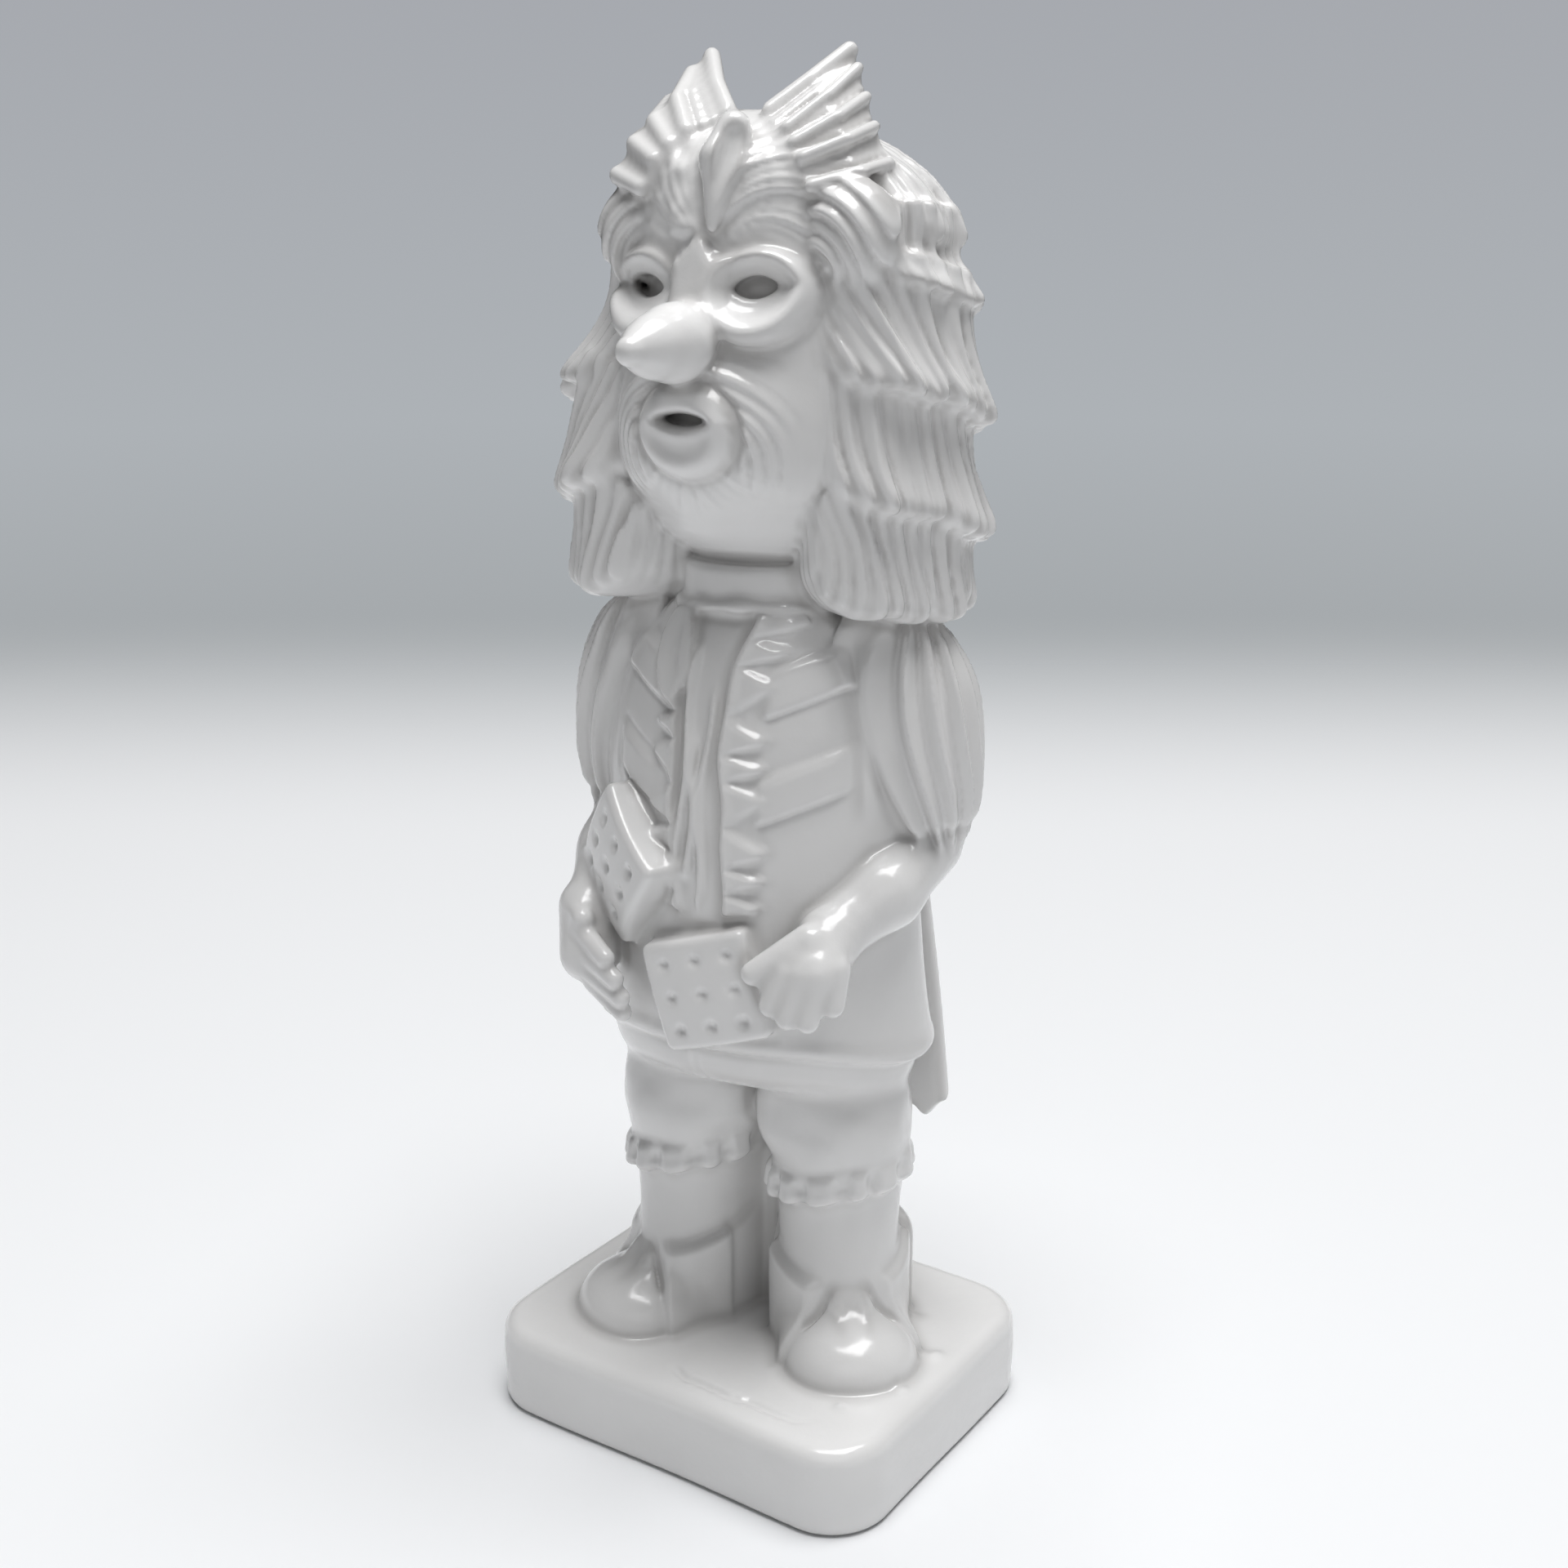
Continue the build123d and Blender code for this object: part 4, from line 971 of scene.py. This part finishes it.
def largest(corners, quads):
    # drops crumbs that are cut off from the piece
    label = np.arange(len(corners))
    while True:
        low = label[quads].min(1)
        new = label.copy()
        np.minimum.at(new, quads.ravel(), np.repeat(low, 4))
        new = new[new]
        if (new == label).all():
            break
        label = new
    kinds, counts = np.unique(label, return_counts=True)
    keep = np.isin(label, kinds[counts >= casting["crumb"] * counts.max()])
    quads = quads[keep[quads].all(1)]
    used = np.unique(quads)
    fresh = np.full(len(corners), -1)
    fresh[used] = np.arange(len(used))
    return corners[used], fresh[quads]


# White glaze: painted shade in its hollows (a little of it the grey of pooled glaze), its pinholes and its
# gloss
glaze = {"color": (0.86, 0.856, 0.852, 1), "shade": (0.64, 0.632, 0.624, 1), "pinhole": (0.16, 0.14, 0.12, 1),
         "drift": 0.12, "driftScale": 55.0, "holeScale": 62.0, "roughness": (0.18, 0.25), "cloudScale": 120.0,
         "specular": 0.5, "coat": 0.25, "coatRoughness": 0.08, "peelScale": 420.0, "peel": 0.10,
         "peelDepth": 0.0006, "slopeReach": 0.6, "feel": 3.0, "shadeGain": 2.2}


def feed(tree, node, feeds):
    # a socket takes a value or another node's output
    for socket, source in feeds.items():
        if isinstance(source, bpy.types.NodeSocket):
            tree.links.new(source, node.inputs[socket])
        else:
            node.inputs[socket].default_value = source
    return node


def addNode(tree, kind, feeds, **settings):
    node = tree.nodes.new("ShaderNode" + kind)
    for key, value in settings.items():
        setattr(node, key, value)
    return feed(tree, node, feeds)


def mixColor(tree, a, b, share):
    return addNode(tree, "Mix", {"A": a, "B": b, "Factor": share}, data_type="RGBA").outputs["Result"]


def ranged(tree, source, span, out=(0.0, 1.0), kind="LINEAR"):
    feeds = {"Value": source, "From Min": span[0], "From Max": span[1], "To Min": out[0], "To Max": out[1]}
    return addNode(tree, "MapRange", feeds, interpolation_type=kind).outputs["Result"]


def glazeMaterial():
    material = bpy.data.materials.new("white_glaze")
    material.use_nodes = True
    tree = material.node_tree
    place = addNode(tree, "TexCoord", {}).outputs["Object"]

    def noise(scale, detail, rough=0.5):
        feeds = {"Vector": place, "Scale": scale, "Detail": detail, "Roughness": rough}
        return addNode(tree, "TexNoise", feeds).outputs["Fac"]

    # thin and thick glaze gives a faint drift of colour; painted shade makes it greyer in hollows and
    # creases, standing in for the shadow there together with a little grey of pooled glaze
    drift = ranged(tree, noise(glaze["driftScale"], 3.0), (0.35, 0.75), (0.0, glaze["drift"]))
    creaseShade = addNode(tree, "Attribute", {}, attribute_name="hollow").outputs["Fac"]
    grey = addNode(tree, "Math", {0: drift, 1: creaseShade}, operation="ADD", use_clamp=True).outputs["Value"]
    tone = mixColor(tree, glaze["color"], glaze["shade"], grey)
    # pinholes: a few dark specks where gas broke the glaze
    cells = addNode(tree, "TexVoronoi", {"Vector": place, "Scale": glaze["holeScale"]})
    speck = ranged(tree, cells.outputs["Distance"], (0.018, 0.030), (1.0, 0.0))
    chance = addNode(tree, "SeparateColor", {"Color": cells.outputs["Color"]}).outputs["Red"]
    few = ranged(tree, chance, (0.84, 0.86))
    pin = addNode(tree, "Math", {0: speck, 1: few}, operation="MULTIPLY").outputs["Value"]
    # gloss varies a little, and the glaze has a faint orange peel
    gloss = ranged(tree, noise(glaze["cloudScale"], 2.0), (0.3, 0.7), glaze["roughness"])
    peel = addNode(tree, "Bump", {"Strength": glaze["peel"], "Distance": glaze["peelDepth"],
                                  "Height": noise(glaze["peelScale"], 3.0, 0.55)})
    feed(tree, tree.nodes["Principled BSDF"],
         {"Base Color": mixColor(tree, tone, glaze["pinhole"], pin), "Roughness": gloss,
          "Specular IOR Level": glaze["specular"], "Coat Weight": glaze["coat"],
          "Coat Roughness": glaze["coatRoughness"], "Normal": peel.outputs["Normal"]})
    return material


whiteGlaze = glazeMaterial()


def addPiece(name, part, field):
    corners, quads = largest(*surface(field))
    spots = corners + [p.start for p in part]
    normals = slopeAt(skin, spots)
    # painted shade: how near the clay still is a little way out along the normal sets a darker tint for
    # hollows and creases, standing in for their shadow; it is stored on the points as the attribute hollow
    near = sample(skin, spots + normals * glaze["feel"]) / (glaze["feel"] * step)
    paintedShade = np.clip((1 - near) * glaze["shadeGain"], 0, 1)
    spin = np.array([(turnCos, turnSin, 0), (-turnSin, turnCos, 0), (0, 0, 1)])
    world = ((gridLow + spots * step) @ spin + (axisX, axisY, 0)) * mm
    mesh = bpy.data.meshes.new(name + "_glazed")
    mesh.from_pydata(world.tolist(), [], quads.tolist())
    mesh.polygons.foreach_set("use_smooth", np.ones(len(quads), bool))
    mesh.normals_split_custom_set_from_vertices((normals @ spin).tolist())
    tint = mesh.attributes.new("hollow", "FLOAT", "POINT")
    tint.data.foreach_set("value", paintedShade.astype(np.float32))
    mesh.materials.append(whiteGlaze)
    mesh.update()
    piece = bpy.data.objects.new(name + "_glazed", mesh)
    bpy.context.scene.collection.objects.link(piece)
    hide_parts(name)
    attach(piece, "root")
    return len(quads)


total = 0
for number, name in enumerate(names):
    part, clay = casts[name]
    mine = owner[part] == number
    lead = np.where(mine, nearest[part] - second[part], clay - nearest[part])
    field = np.maximum(skin[part] + casting["sink"] * np.maximum(lead, 0), (lead - casting["lap"]) * 0.5)
    field = np.pad(field, 1, constant_values=1.0)
    shifted = tuple(slice(p.start - 1, p.stop + 1) for p in part)
    count = addPiece(name, shifted, field)
    total += count
    print(name, count)
print("pieces", len(names), "quads", total)

# Table, backdrop and light
# floor colours: white where light pools round the figure, and a painted shade of grey further out
studio = {"size": 8.0, "floor": (0.86, 0.87, 0.885, 1), "shadedFloor": (0.60, 0.605, 0.615, 1), "roughness": 0.55,
          "specular": 0.3, "lightPoolMid": (-0.195, 0.29, 0), "lightPoolReach": (0.47, 0.78),
          "away": (-0.557, 0.831, 0), "tableEnd": (0.36, 0.84), "aim": (0, 0, 0.1),
          "key": 66.0, "keyPlace": (0.22, 0.06, 2.4), "keySize": (1.5, 1.5),
          "front": 2.6, "frontPlace": (0.9, -1.3, 0.9), "frontSize": (1.4, 1.0),
          "fill": 0.05, "fillColor": (0.97, 0.98, 1.0, 1), "wallSpan": (-0.20, 0.11), "wallMid": 0.35,
          "backTop": (0.385, 0.40, 0.43, 1), "backMid": (0.42, 0.445, 0.47, 1),
          "backLow": (0.375, 0.395, 0.41, 1)}


def cameraRay(tree):
    return addNode(tree, "LightPath", {}).outputs["Is Camera Ray"]


def shade(tree, output, share, near, far):
    mix = addNode(tree, "MixShader", {0: share, 1: near.outputs[0], 2: far.outputs[0]})
    feed(tree, tree.nodes[output], {"Surface": mix.outputs["Shader"]})


def addFloor():
    half = studio["size"] / 2
    mesh = bpy.data.meshes.new("floor")
    rim = [(-half, -half, 0), (half, -half, 0), (half, half, 0), (-half, half, 0)]
    mesh.from_pydata(rim, [], [(0, 1, 2, 3)])
    floor = bpy.data.objects.new("floor", mesh)
    bpy.context.scene.collection.objects.link(floor)
    material = bpy.data.materials.new("pale_table")
    material.use_nodes = True
    tree = material.node_tree
    # painted pool of light: the floor is white under and behind the figure and painted a dimmer grey out in
    # front and at the sides, as shade; seen by the camera it fades into the backdrop
    place = addNode(tree, "TexCoord", {}).outputs["Object"]
    reach = addNode(tree, "VectorMath", {0: place, 1: studio["lightPoolMid"]}, operation="DISTANCE")
    floorShade = ranged(tree, reach.outputs["Value"], studio["lightPoolReach"], kind="SMOOTHSTEP")
    paper = feed(tree, tree.nodes["Principled BSDF"],
                 {"Base Color": mixColor(tree, studio["floor"], studio["shadedFloor"], floorShade),
                  "Roughness": studio["roughness"], "Specular IOR Level": studio["specular"]})
    along = addNode(tree, "VectorMath", {0: place, 1: studio["away"]}, operation="DOT_PRODUCT")
    fade = ranged(tree, along.outputs["Value"], studio["tableEnd"], kind="SMOOTHSTEP")
    seen = addNode(tree, "Math", {0: fade, 1: cameraRay(tree)}, operation="MULTIPLY")
    clear = addNode(tree, "BsdfTransparent", {})
    shade(tree, "Material Output", seen.outputs["Value"], paper, clear)
    mesh.materials.append(material)


def addWorld():
    world = bpy.data.worlds.new("studio")
    world.use_nodes = True
    bpy.context.scene.world = world
    tree = world.node_tree
    fill = feed(tree, tree.nodes["Background"], {"Color": studio["fillColor"], "Strength": studio["fill"]})
    # what the camera sees behind the table: a grey wall, a little darker low down
    place = addNode(tree, "TexCoord", {}).outputs["Generated"]
    split = addNode(tree, "SeparateXYZ", {"Vector": place})
    ramp = addNode(tree, "ValToRGB", {"Fac": ranged(tree, split.outputs["Z"], studio["wallSpan"])})
    ramp.color_ramp.elements[0].color = studio["backLow"]
    ramp.color_ramp.elements[1].color = studio["backTop"]
    ramp.color_ramp.elements.new(studio["wallMid"]).color = studio["backMid"]
    wall = addNode(tree, "Background", {"Color": ramp.outputs["Color"]})
    shade(tree, "World Output", cameraRay(tree), fill, wall)


def put(thing, place, aim):
    thing.location = place
    thing.rotation_euler = (Vector(aim) - Vector(place)).to_track_quat("-Z", "Y").to_euler()
    bpy.context.scene.collection.objects.link(thing)


def addLamp(name, place, size, power):
    data = bpy.data.lights.new(name, "AREA")
    data.shape = "RECTANGLE"
    data.size, data.size_y = size
    data.energy = power
    put(bpy.data.objects.new(name, data), place, studio["aim"])


camera = {"place": (0.1938, -0.2806, 0.2244), "aim": (0.00401, 0.00269, 0.12645), "lens": 44.06,
          "sensor": 36.0, "near": 0.01}


def addCamera():
    data = bpy.data.cameras.new("camera")
    data.lens, data.sensor_width, data.clip_start = camera["lens"], camera["sensor"], camera["near"]
    eye = bpy.data.objects.new("camera", data)
    put(eye, camera["place"], camera["aim"])
    bpy.context.scene.camera = eye


addFloor()
addWorld()
addLamp("overhead", studio["keyPlace"], studio["keySize"], studio["key"])
addLamp("front", studio["frontPlace"], studio["frontSize"], studio["front"])
addCamera()
bpy.context.scene.view_settings.view_transform = "Standard"
